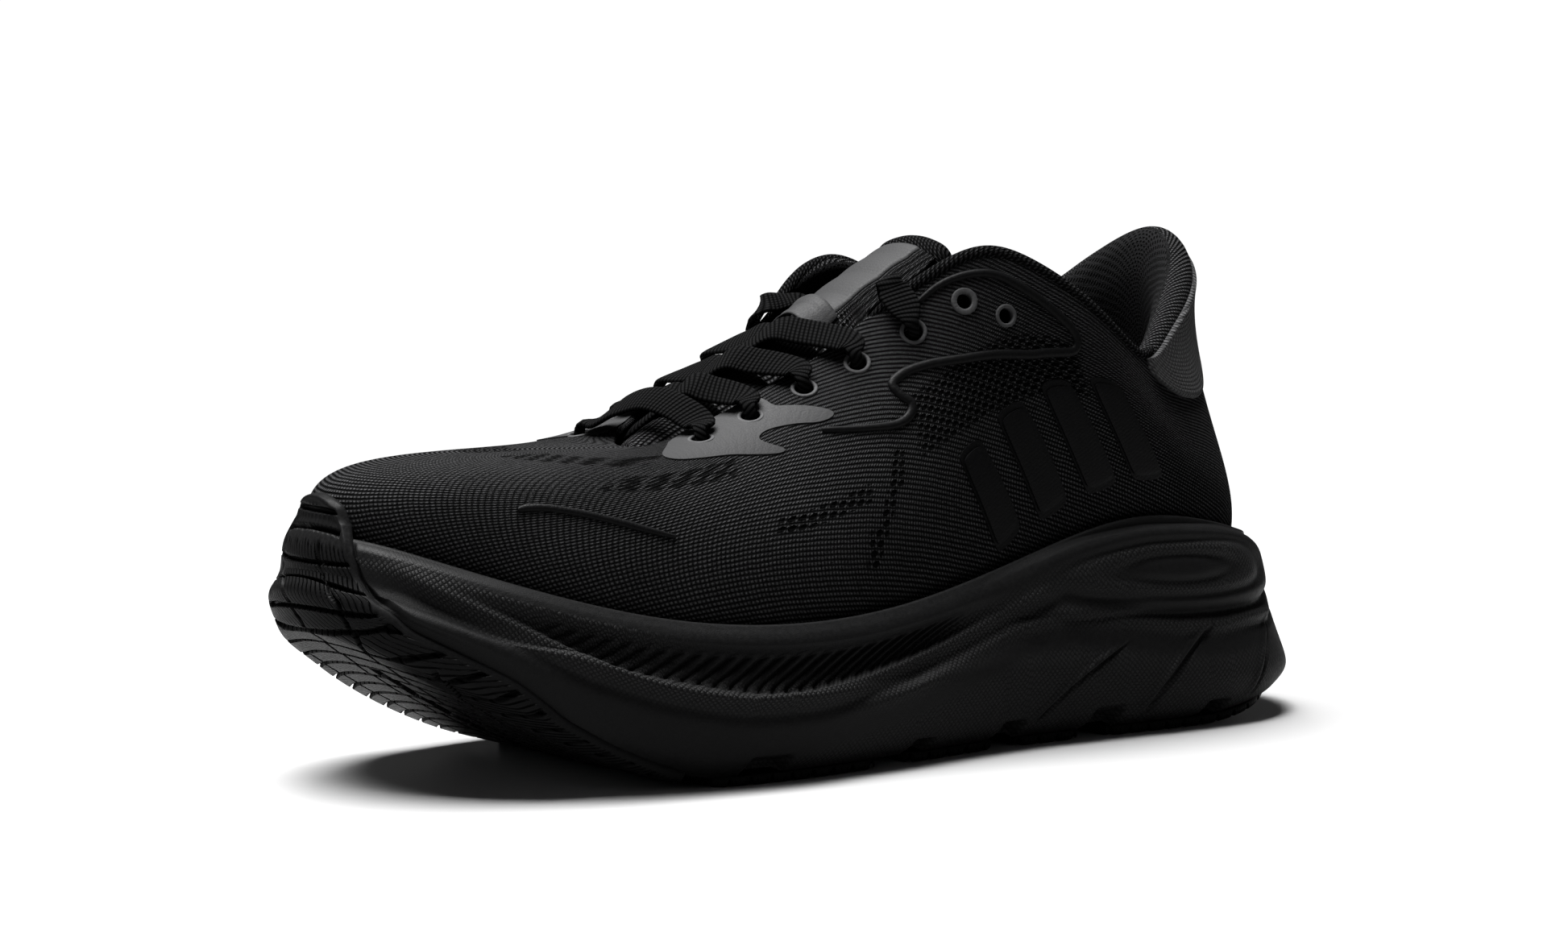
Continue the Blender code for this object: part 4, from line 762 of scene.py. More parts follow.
def upper_knit():
    nt, ns = 900, 130
    t = np.linspace(0, 20, nt)
    # the rows stop a little under the top line, and the roll makes up the rest
    L = lengths(np.moveaxis(upper(t[None], np.linspace(0.5, 1, 24)[:, None]), 0, 0), 0)[-1]
    D1 = depth(t, np.ones(nt))
    r = D1 / 2
    s1 = 1 - 0.5 * (r * 0.9) / L
    f = np.linspace(0, 1, ns)
    S = f[:, None] * s1[None]
    T = np.repeat(t[None], ns, 0)
    P = upper(T, S)
    N = normals(upper, T, S)
    s_end = s1
    N1 = normals(upper, t, s_end)
    A = upper(t, s_end) - upper(t, s_end - 0.02)
    A -= N1 * (A * N1).sum(-1, keepdims=True)
    A /= np.linalg.norm(A, axis=-1, keepdims=True)
    # faint swelling of the padded collar
    edge = P[-1]
    c = edge - N1 * r[:, None]
    roll = []
    for w in np.linspace(0, math.pi, 13)[1:-1]:
        roll.append(c + (N1 * math.cos(w) + A * math.sin(w)) * r[:, None])
    roll = np.array(roll)
    si = np.linspace(1, 0.02, 70)
    SI = si[:, None] * s1[None]
    TI = np.repeat(t[None], 70, 0)
    I = upper(TI, SI) - normals(upper, TI, SI) * depth(TI, SI)[..., None]
    G = np.concatenate([P, roll, I])
    G = np.moveaxis(G, 1, 0)
    n, m = G.shape[:2]
    # knit rows run round the toe as arcs, rise over the toe box and fall a little towards the heel
    R = lengths(G, 1)
    R = R - R[:, int(ns * 0.12)][:, None]
    xr = plan(t, 6.0)[:, 0]
    R = R + (SOLE(t)[:, 0] + np.where(xr < -40, 0.0026, 0.0018) * (xr + 40) ** 2)[:, None]
    along = lengths(G, 0)
    along = np.minimum(along, along[-1:] - along)
    uv = np.stack([R, along], -1)
    # lining and roll: coordinates along and across the edge
    U = lengths(upper(t, 0.7), 0)
    lining = ns + len(roll)
    uv2 = np.stack([np.repeat(U[:, None], m, 1), lengths(G, 1)], -1)
    back = step(t, 5.2, 5.6) * (1 - step(t, 14.4, 14.8))
    mesh = np.zeros((n, m))
    mesh[:, :ns] = mesh_zone(T.T, S.T)
    F = quads(n, m)
    # close the lower edge
    i = np.arange(n - 1)
    F2 = np.stack([i * m, (i + 1) * m, (i + 1) * m + m - 1, i * m + m - 1], -1)
    jj = np.tile(np.arange(m - 1), n - 1)
    ii = np.repeat(np.arange(n - 1), m - 1)
    index = np.where(jj >= ns + len(roll) - 3, 1, 0)
    tq = t[ii]
    index = np.where((tq < 5.4) | (tq > 14.6), np.where(jj >= ns + len(roll) - 1, 1, 0), index)
    uvs = uv.copy()
    uvs[:, lining - 3:] = uv2[:, lining - 3:]
    # eyelet holes: take out the faces inside each one, on both sides
    centre = (G[:-1, :-1] + G[1:, 1:]).reshape(-1, 3) / 2
    keep = np.ones(len(F), bool)
    for eyes in (EYES_L, EYES_M):
        for k_, (te, se) in enumerate(eyes):
            p = upper(np.array([te]), np.array([se]))[0]
            nn = normals(upper, np.array([te]), np.array([se]))[0]
            d = centre - p
            deep_ = d @ nn
            rad = np.linalg.norm(d - deep_[:, None] * nn, axis=1)
            keep &= ~((rad < (2.75 if k_ < 5 else 2.3)) & (deep_ > (-14 if k_ < 5 else -2)) & (deep_ < 3))
    V = G.reshape(-1, 3)
    return build("knit_upper", V, np.concatenate([F[keep], F2]), [KNIT_M, LINING_M], uvs.reshape(-1, 2), {"mesh": mesh.ravel()},
                 np.concatenate([index[keep], np.ones(len(F2), int)]), blend=("rearfoot", "forefoot", FORE_START, FORE_END),
                 stands_for=("knit_toe_box", "knit_flex_band", "knit_quarter_lateral", "knit_quarter_medial", "knit_heel", "collar_lining",
                             "collar_foam_lateral", "collar_foam_medial", "collar_foam_heel"))


upper_knit()


def frame_at(t, s):
    """Point on the upper, its normal, and the direction towards the throat."""
    t, s = np.array([t]), np.array([s])
    p = upper(t, s)[0]
    n = normals(upper, t, s)[0]
    a = (upper(t, s + 0.01) - upper(t, s - 0.01))[0]
    a -= n * (a @ n)
    return p, n, a / np.linalg.norm(a)


# ---- overlays bonded to the knit


def bar(name, points, width, thick, mat, n=160, m=11, lift=0.0, body="rearfoot", slot="film_grey", node=None, mirror=False, blend=None, close=False, taper=0.0):
    """Raised rounded line on the upper through (t, s) points."""
    p = np.array(points, float)
    if mirror:
        p = p * [-1, 1] + [20, 0]
    k = np.linspace(0, len(p) - 1, n)
    c = catmull(p, k)
    P = upper(c[:, 0], c[:, 1])
    for _ in range(3):
        P[1:-1] = (P[:-2] + P[2:] + 2 * P[1:-1]) / 4
    N = normals(upper, c[:, 0], c[:, 1])
    D = np.gradient(P, axis=0)
    side = np.cross(N, D)
    side /= np.linalg.norm(side, axis=-1, keepdims=True)
    a = np.linspace(-1, 1, m)
    w = np.full(n, width / 2)
    if taper:
        u = np.linspace(0, 1, n)
        w = w * (taper + (1 - taper) * np.minimum(1, 6 * np.minimum(u, 1 - u)) ** 0.5)
    hi = P[:, None] + side[:, None] * (a[None, :, None] * w[:, None, None]) + N[:, None] * (lift + thick * np.sqrt(np.clip(1 - a**2 * 0.98, 0, 1)))[None, :, None]
    lo = P[:, None] + side[:, None] * (a[None, :, None] * w[:, None, None]) - N[:, None] * 0.3
    V, F = shell(hi, lo)
    l = lengths(P, 0)
    uv = np.stack([np.repeat(l[:, None], m, 1), a[None] * w[:, None]], -1)
    return build(name, V, F, mat, np.concatenate([uv.reshape(-1, 2)] * 2), body=None if blend else body, blend=blend, stands_for=(node,) if node else ())


QUARTER_LINE = [(5.61, 0.935), (5.85, 0.945), (6.24, 0.92), (6.5, 0.885), (6.75, 0.845), (6.9, 0.79), (6.82, 0.715), (6.55, 0.675), (6.31, 0.665),
                (5.87, 0.70), (5.5, 0.74), (5.24, 0.757), (5.07, 0.745), (5.12, 0.70), (5.21, 0.66), (5.16, 0.63), (5.0, 0.625), (4.7, 0.655), (4.22, 0.71)]
bar("quarter_line_outer", QUARTER_LINE, 2.5, 0.9, FILM_DARK, 420, node="quarter_line_lateral", taper=0.5)
bar("quarter_line_inner", QUARTER_LINE, 2.5, 0.9, FILM_DARK, 420, node="quarter_line_medial", mirror=True, taper=0.5)
FORE_BLEND = ("rearfoot", "forefoot", FORE_START, FORE_END)
bar("toe_mark", [(1.62, 0.415), (1.66, 0.435), (1.8, 0.455), (2.1, 0.458), (2.45, 0.44), (2.94, 0.40)], 1.9, 0.7, FILM_DARK, 160, node="toe_line", blend=FORE_BLEND, taper=0.4)


def decal(name, poly, mat, thick=0.4, cell=(0.010, 0.0045), body="rearfoot", node=None, mirror=False, blend=None, holes=(), rounds=1, edge=0.0):
    """Film patch on the upper: the outline is a closed curve of (t, s) points."""
    p = np.array(poly, float)
    for _ in range(rounds):
        q = np.empty((len(p) * 2, 2))
        nx = np.roll(p, -1, 0)
        q[0::2] = p * 0.75 + nx * 0.25
        q[1::2] = p * 0.25 + nx * 0.75
        p = q
    scale = np.array([40.0, 95.0])
    lo, hi = p.min(0) - np.array(cell) * 2, p.max(0) + np.array(cell) * 2
    ta = np.arange(lo[0], hi[0] + cell[0], cell[0])
    sa = np.arange(lo[1], hi[1] + cell[1], cell[1])
    TT, SS = np.meshgrid(ta, sa, indexing="ij")
    pts = np.stack([TT, SS], -1) * scale
    pp = p * scale
    best = np.full(TT.shape, 1e9)
    inside = np.zeros(TT.shape, bool)
    for a, b in zip(pp, np.roll(pp, -1, 0)):
        ab = b - a
        k = np.clip(((pts - a) @ ab) / (ab @ ab), 0, 1)
        best = np.minimum(best, np.linalg.norm(pts - (a + k[..., None] * ab), axis=-1))
        cond = ((a[1] > pts[..., 1]) != (b[1] > pts[..., 1]))
        with np.errstate(divide="ignore", invalid="ignore"):
            xi = a[0] + (pts[..., 1] - a[1]) * ab[0] / np.where(ab[1] == 0, 1e-12, ab[1])
        inside ^= cond & (pts[..., 0] < xi)
    sdf = np.where(inside, best, -best)
    if mirror:
        TT = 20 - TT
    P = upper(TT, np.clip(SS, 0, 0.999))
    N = normals(upper, TT, np.clip(SS, 0, 0.999))
    for te, se in holes:
        c, nn, aa = frame_at(te, se)
        sdf = np.minimum(sdf, np.linalg.norm(P - c, axis=-1) - 2.5)
    top = P + N * (thick * (1 - 0.7 * edge * np.exp(-np.abs(sdf) / 0.8)))[..., None]
    bot = P - N * 0.25
    uvg = rows_uv(P)
    cache, VV, UVV, FF = {}, [], [], []

    def node_at(key, a, b=None, k=0.0):
        if key in cache:
            return cache[key]
        if b is None:
            v, w, u = top[a], bot[a], uvg[a]
        else:
            v, w, u = top[a] + (top[b] - top[a]) * k, bot[a] + (bot[b] - bot[a]) * k, uvg[a] + (uvg[b] - uvg[a]) * k
        cache[key] = len(VV)
        VV.extend([v, w])
        UVV.extend([u, u])
        return cache[key]

    n, m = TT.shape
    corner = sdf > 0
    any4 = corner[:-1, :-1] | corner[1:, :-1] | corner[1:, 1:] | corner[:-1, 1:]
    for i, j in zip(*np.nonzero(any4)):
        c = [(i, j), (i + 1, j), (i + 1, j + 1), (i, j + 1)]
        loop, groove_shade = [], []
        for a, b in zip(c, c[1:] + c[:1]):
            if corner[a]:
                loop.append(node_at(a, a))
            if corner[a] != corner[b]:
                lo_, hi_ = (a, b) if a < b else (b, a)
                k = sdf[lo_] / (sdf[lo_] - sdf[hi_])
                k = min(max(k, 0.02), 0.98)
                e = node_at((lo_, hi_), lo_, hi_, k)
                loop.append(e)
                groove_shade.append((e, corner[a]))
        if len(loop) > 2:
            FF.append(loop)
            FF.append([x + 1 for x in loop][::-1])
        if len(groove_shade) == 2:
            a, b = groove_shade[0][0], groove_shade[1][0]
            FF.append([a, b, b + 1, a + 1])
    me = bpy.data.meshes.new(name)
    me.from_pydata([tuple(np.array(v) * MM) for v in VV], [], FF)
    layer = me.uv_layers.new(name="uv")
    idx = np.empty(len(me.loops), np.int32)
    me.loops.foreach_get("vertex_index", idx)
    layer.data.foreach_set("uv", np.array(UVV, np.float32)[idx].ravel())
    me.materials.append(mat)
    bm = bmesh.new()
    bm.from_mesh(me)
    bmesh.ops.recalc_face_normals(bm, faces=bm.faces)
    bm.to_mesh(me)
    bm.free()
    me.shade_smooth()
    me.set_sharp_from_angle(angle=math.radians(50))
    ob = bpy.data.objects.new(name, me)
    scene.collection.objects.link(ob)
    if blend:
        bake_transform(ob)
    else:
        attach(ob, body)
    if node:
        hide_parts(node)
    return ob


STAY = [(1.9, 0.99), (1.9, 0.87), (2.0, 0.81), (2.3, 0.765), (2.75, 0.745), (3.14, 0.73), (3.45, 0.70), (3.78, 0.672), (3.84, 0.685), (3.6, 0.735), (3.5, 0.77), (3.62, 0.795),
        (3.95, 0.775), (4.25, 0.735), (4.42, 0.748), (4.2, 0.81), (3.95, 0.86), (3.8, 0.885), (3.75, 0.95), (3.62, 0.99)]
decal("eyestay_outer", STAY, FILM_M, 0.35, node="eyestay_film_lateral", holes=EYES_L, rounds=2)
decal("eyestay_inner", STAY, FILM_M, 0.35, node="eyestay_film_medial", mirror=True, holes=EYES_M, rounds=2)


def ring_film(name, t, s, mat, r_in=2.45, r_out=3.55, thick=0.4):
    """Film ring round an eyelet, with the tube of the hole below it."""
    c, n, a = frame_at(t, s)
    b = np.cross(n, a)
    k = 40
    prof = [(r_out, -0.35), (r_out, 0.15), (r_out - 0.15, thick - 0.05), (r_out - 0.4, thick), (r_in + 0.35, thick), (r_in + 0.1, thick - 0.1), (r_in, thick - 0.35),
            (r_in, -1.9), (r_in + 0.3, -2.0), (r_in + 0.35, -0.35)]
    G = np.zeros((k + 1, len(prof), 3))
    for i in range(k + 1):
        w = math.tau * i / k
        d = a * math.cos(w) + b * math.sin(w)
        q = c + d * r_out
        for j, (rr, h) in enumerate(prof):
            G[i, j] = c + d * rr + n * h
    G = np.concatenate([G, G[:, :1]], 1)
    uv = np.stack(np.meshgrid(np.linspace(0, 20, k + 1), np.linspace(0, 8, len(prof) + 1), indexing="ij"), -1)
    return build(name, G, quads(k + 1, len(prof) + 1), mat, uv, body="rearfoot")


for side, eyes in (("outer", EYES_L), ("inner", EYES_M)):
    for k, (te, se) in enumerate(eyes):
        ring_film(f"eyelet_ring_{side}_{k + 1}", te, se, RING_M, 2.45 if k < 5 else 2.0, 3.5 if k < 6 else 3.0)

# side mark: four slanted bars, each a raised face on a wider base
BARS = [[(5.58, 0.44), (5.78, 0.46), (6.02, 0.21), (5.84, 0.17)], [(5.98, 0.50), (6.22, 0.52), (6.42, 0.24), (6.20, 0.21)],
        [(6.42, 0.56), (6.68, 0.585), (6.84, 0.28), (6.60, 0.25)], [(6.88, 0.62), (7.16, 0.655), (7.26, 0.32), (7.00, 0.29)]]


def grow(poly, k):
    p = np.array(poly)
    c = p.mean(0)
    w = np.array([40.0, 95.0])
    d = (p - c) * w
    l = np.linalg.norm(d, axis=1, keepdims=True)
    return c + d * (1 + k / l) / w


def corners(poly, k=0.16):
    """Extra points beside each corner, so that rounding keeps the sides straight."""
    p = np.array(poly, float)
    out = []
    for a, b in zip(p, np.roll(p, -1, 0)):
        out += [a + (b - a) * k, a + (b - a) * (1 - k)]
    return np.array(out)


for side, mirror in (("outer", False), ("inner", True)):
    for k, poly in enumerate(BARS):
        first = k == 0
        decal(f"side_bar_base_{side}_{k + 1}", corners(grow(poly, 2.0), 0.10), FILM_DARK, 0.35, cell=(0.012, 0.005), mirror=mirror, rounds=2,
              node=("side_emblem_medial" if mirror else "side_emblem_lateral") if first else None)
        decal(f"side_bar_{side}_{k + 1}", corners(grow(poly, 0.0), 0.10), FILM_DARK, 1.0, cell=(0.012, 0.005), mirror=mirror, rounds=2, edge=0.35)


def collar_piping(name, t0, t1):
    """Ribbed cord rolled over the outer edge of the collar, from the throat to the heel patch."""
    t = np.linspace(t0, t1, 260)
    L = lengths(np.moveaxis(upper(t[None], np.linspace(0.5, 1, 24)[:, None]), 0, 0), 0)[-1]
    r = depth(t, np.ones(len(t))) / 2
    s1 = 1 - 0.5 * (r * 0.9) / L
    P = upper(t, s1)
    N = normals(upper, t, s1)
    A = P - upper(t, s1 - 0.02)
    A -= N * (A * N).sum(-1, keepdims=True)
    A /= np.linalg.norm(A, axis=-1, keepdims=True)
    w0 = math.radians(42)
    c = P - N * r[:, None] + (N * math.cos(w0) + A * math.sin(w0)) * (r - 0.55)[:, None]
    D = np.gradient(c, axis=0)
    D /= np.linalg.norm(D, axis=-1, keepdims=True)
    u = N - D * (N * D).sum(-1, keepdims=True)
    u /= np.linalg.norm(u, axis=-1, keepdims=True)
    w = np.cross(D, u)
    f = np.linspace(0, 1, len(t))
    rad = 1.85 * np.sqrt(np.clip(np.minimum(f, 1 - f) * 14, 0.05, 1)) * np.interp(f, [0, 0.25, 0.75, 1], [0.8, 1.0, 1.0, 0.9])
    k = 22
    th = np.linspace(0, math.tau, k)
    G = c[:, None] + (u[:, None] * np.cos(th)[None, :, None] + w[:, None] * np.sin(th)[None, :, None]) * rad[:, None, None]
    l = lengths(c, 0)
    uv = np.stack([np.repeat(l[:, None], k, 1) + th[None] * 1.1, np.repeat((th * 1.85)[None], len(t), 0)], -1)
    ob = build(name, G.reshape(-1, 3), quads(len(t), k), BIND_M, uv.reshape(-1, 2), body="rearfoot")
    bm = bmesh.new()
    bm.from_mesh(ob.data)
    bmesh.ops.holes_fill(bm, edges=[e for e in bm.edges if e.is_boundary], sides=0)
    bm.to_mesh(ob.data)
    bm.free()


collar_piping("collar_piping_outer", 5.15, 8.02)
collar_piping("collar_piping_inner", 14.85, 11.98)


# ---- heel patch of looped pile, over the back of the collar

HP_T = [7.80, 7.98, 8.22, 8.52, 8.86, 9.2, 9.6, 10.0, 10.4, 10.8, 11.14, 11.48, 11.78, 12.02, 12.20]
HP_LOW = [0.93, 0.78, 0.685, 0.645, 0.645, 0.67, 0.71, 0.72, 0.71, 0.67, 0.645, 0.645, 0.685, 0.78, 0.93]


def heel_patch():
    t = np.linspace(7.80, 12.20, 232)
    low = np.interp(t, HP_T, HP_LOW)
    low = np.convolve(np.pad(low, 8, mode="edge"), np.ones(17) / 17, "valid")
    f = np.linspace(0, 1, 60)
    S = low[:, None] + (0.968 - low[:, None]) * f[None]
    T = np.repeat(t[:, None], 60, 1)
    P = upper(T, S)
    N = normals(upper, T, S)
    q = np.minimum(np.minimum(f[None] * 60, (1 - f[None]) * 60), np.minimum((t - 7.80) * 40, (12.20 - t) * 40)[:, None])
    h = 1.15 * np.sqrt(np.clip(q / 2.2, 0.02, 1))
    hi = P + N * h[..., None]
    lo = P - N * 0.3
    V, F = shell(hi, lo)
    uv = np.stack([lengths(P, 0), lengths(P, 1)], -1)
    build("heel_patch_pile", V, F, PATCH_M, np.concatenate([uv.reshape(-1, 2)] * 2), body="rearfoot", stands_for=("heel_patch",))


heel_patch()

# ---- tongue: one padded sheet under the laces, free above the last one


def edge_at(x, side):
    """Lap position of the throat edge at a given x."""
    t = np.linspace(0.3, 6.2, 300) if side < 0 else np.linspace(19.7, 13.9, 300)
    ex = TOP(t)[:, 0]
    return np.interp(x, ex, t)


CROWN = [(-70, 74.0), (-56, 81.0), (-40, 90.0), (-20, 99.5), (-1, 110.0), (8, 114.8), (14, 118.3), (22, 122.8), (30, 127.0), (36, 129.2)]


def crown(x):
    return np.interp(x, [c[0] for c in CROWN], [c[1] for c in CROWN])


def tongue_section(x, deep):
    """Cross-section of the tongue at x, from the medial wing over the crown to the lateral wing."""
    rows = []
    for side in (1, -1):
        t = edge_at(x, side)
        s = np.array([0.80, 0.88, 0.96])
        w = skin(np.full(3, t), s, np.full(3, -5.4 - deep))
        rows.append(w)
    a, b = rows[0][-1], rows[1][-1]
    mid = []
    for f in (0.2, 0.35, 0.5, 0.65, 0.8):
        p = a + (b - a) * f
        h = 0.5 - 0.5 * math.cos(2 * math.pi * f)
        p[0] = x
        p[2] = p[2] + (crown(x) - deep - p[2]) * h
        mid.append(p)
    return np.concatenate([rows[0], np.array(mid), rows[1][::-1]], 0)




def tongue():
    xs = np.concatenate([np.linspace(-59, 2, 104), np.linspace(2.6, 37.0, 70)])
    f = np.linspace(0, 1, 61)
    top, bot = [], []
    for x in xs:
        sec = tongue_section(min(x, 4.0), 0.0)
        sec = np.array(sec)
        k = np.linspace(0, len(sec) - 1, 61)
        low = catmull(sec, k)
        if x > 4.0:
            low = low + [x - 4.0, 0, 0]
            low[:, 2] += crown(x) - crown(4.0)
        w = 14.5 - 2.0 * float(step(x, 24, 36))
        y = 3.0 + w * (1 - 2 * f)
        up = np.stack([np.full(61, x), y, crown(x) - 3.4 * ((y - 3.0) / 14.5) ** 2], -1)
        g = float(step(x, 0.5, 9.5))
        P = low * (1 - g) + up * g
        if x <= 9.5:
            P[:, 0] = P[:, 0] * (1 - g) + x * g
        top.append(P)
    top = np.array(top)
    for _ in range(2):
        top[1:-1] = (top[:-2] + top[2:] + 2 * top[1:-1]) / 4
    N = outward(top)
    N *= np.sign(N[..., 2:3] + 1e-9)
    cross = np.minimum(f, 1 - f)
    pad = 1.5 + 5.2 * step(xs, -38, -10)[:, None] * step(cross, 0.0, 0.3)[None]
    pad = pad * (1 - 0.35 * step(cross, 0.30, 0.5)[None] * 0)
    # quilted lines across the padding
    swell = 0.35 * np.abs(np.sin(xs / 9.0 * math.pi))[:, None] * step(cross, 0.05, 0.2)[None] * step(xs, -30, -20)[:, None]
    hi = top + N * (swell - 0.1)[..., None]
    lo = top - N * pad[..., None]
    V, F = shell(hi, lo)
    # rows run along the tongue
    uv = np.stack([hi[..., 1] * 1.02, lengths(hi, 0)], -1)
    uv2 = np.stack([lengths(lo, 0), lengths(lo, 1)], -1)
    n, m = hi.shape[:2]
    y = hi[..., 1]
    mesh = (step(y, -13, -10) * (1 - step(y, -6.5, -5.5)) + step(y, 13.5, 14.5) * (1 - step(y, 18, 20))) * step(hi[..., 0], -8, -2)
    index = np.zeros(len(F), int)
    index[(n - 1) * (m - 1):2 * (n - 1) * (m - 1)] = 1
    build("tongue_padded", V, F, [KNIT_TONGUE, LINING_M], np.concatenate([uv.reshape(-1, 2), uv2.reshape(-1, 2)]),
          {"mesh": np.concatenate([np.clip(mesh, 0, 1).ravel(), np.zeros(n * m)])}, index,
          blend=("rearfoot", "tongue_top", (0.002, 0, 0.11), (0.014, 0, 0.118)),
          stands_for=("tongue_knit_lower", "tongue_knit_top", "tongue_padding_lower", "tongue_padding_top", "tongue_lining_top"))
    # film strip down the middle
    sel = np.nonzero((xs > -1.5) & (xs < 31.8))[0]
    rows_h, rows_l, uvs = [], [], []
    for i in sel:
        ys = np.linspace(14.0, -4.5, 24)
        order = np.argsort(hi[i, :, 1])
        zz = np.interp(ys, hi[i, order, 1], hi[i, order, 2])
        xx = np.interp(ys, hi[i, order, 1], hi[i, order, 0])
        e = np.minimum(ys + 4.5, 14.0 - ys)
        t = 0.35 + 0.35 * np.sqrt(np.clip(e / 0.6, 0, 1))
        rows_h.append(np.stack([xx - 0.35 * t, ys, zz + t], -1))
        rows_l.append(np.stack([xx, ys, zz - 0.3], -1))
        uvs.append(np.stack([np.full(24, xs[i]), ys], -1))
    A, B = np.array(rows_h), np.array(rows_l)
    V, F = shell(A, B)
    build("tongue_film", V, F, FILM_M, np.concatenate([np.array(uvs).reshape(-1, 2)] * 2),
          blend=("rearfoot", "tongue_top", (0.002, 0, 0.11), (0.014, 0, 0.118)), stands_for=("tongue_film_top",))
    # keeper loop
    hi_, lo_ = [], []
    for y in np.linspace(14.5, -6.5, 40):
        rise = 0.5 + 2.3 * (1 - min(1.0, abs((y - 4.0) / 10.5)) ** 5)
        a_, b_ = [], []
        for x in np.linspace(-4.6, 3.4, 12):
            i = int(np.argmin(np.abs(xs - x)))
            order = np.argsort(hi[i, :, 1])
            z = np.interp(y, hi[i, order, 1], hi[i, order, 2])
            a_.append([x - 0.5 * rise, y, z + rise + 0.45])
            b_.append([x - 0.5 * rise, y, z + rise])
        hi_.append(a_)
        lo_.append(b_)
    V, F = shell(np.array(hi_), np.array(lo_))
    uvk = np.stack(np.meshgrid(np.linspace(0, 20, 40), np.linspace(0, 8, 12), indexing="ij"), -1)
    build("lace_keeper_loop", V, F, FILM_M, np.concatenate([uvk.reshape(-1, 2)] * 2), body="rearfoot", stands_for=("lace_keeper",))
    # ribbed binding rolled over the tongue's end
    k, c = 90, 28
    G = np.zeros((k, c, 3))
    yy = np.linspace(17.2, -11.2, k)
    for i, y in enumerate(yy):
        z = crown(36.2) - 3.4 * ((y - 3.0) / 14.5) ** 2
        e = min(1.0, (14.2 - abs(y - 3.0)) / 4.0)
        r = 0.35 + 0.65 * math.sqrt(max(e, 0.0) * (2 - max(e, 0.0)))
        for j in range(c):
            w = math.tau * j / (c - 1)
            G[i, j] = [35.2 + 3.6 * r * math.cos(w), y, z - 2.9 + 4.1 * r * math.sin(w)]
    uvb = np.stack([yy[:, None] * 1.0 + np.linspace(0, 26, c)[None] * 0.55, np.repeat(np.linspace(0, 26, c)[None], k, 0)], -1)
    caps = []
    V = np.concatenate([G.reshape(-1, 3), G[0].mean(0)[None], G[-1].mean(0)[None]])
    F = quads(k, c)
    tri = np.array([[j, j + 1, k * c, k * c] for j in range(c - 1)] + [[(k - 1) * c + j, (k - 1) * c + j + 1, k * c + 1, k * c + 1] for j in range(c - 1)])
    ob = build("tongue_binding_roll", V, F, BIND_M, np.concatenate([uvb.reshape(-1, 2), [[0, 0], [0, 0]]]), body="tongue_top", stands_for=("tongue_binding",))


tongue()

# ---- lace


def resample(keys, spacing):
    """Even points along a smooth curve through keys: (point, up, width)."""
    P = np.array([np.concatenate([k[0], k[1], [k[2]]]) for k in keys], float)
    n = len(P)
    dense = []
    for i in range(n - 1):
        p0, p1, p2, p3 = P[max(i - 1, 0)], P[i], P[i + 1], P[min(i + 2, n - 1)]
        for u in np.linspace(0, 1, 24, endpoint=False):
            dense.append(0.5 * (2 * p1 + (p2 - p0) * u + (2 * p0 - 5 * p1 + 4 * p2 - p3) * u**2 + (3 * p1 - p0 - 3 * p2 + p3) * u**3))
    dense.append(P[-1])
    dense = np.array(dense)
    l = np.concatenate([[0], np.cumsum(np.linalg.norm(np.diff(dense[:, :3], axis=0), axis=-1))])
    m = max(int(l[-1] / spacing), 2)
    q = np.linspace(0, l[-1], m + 1)
    return np.stack([np.interp(q, l, dense[:, j]) for j in range(dense.shape[1])], -1), l[-1]


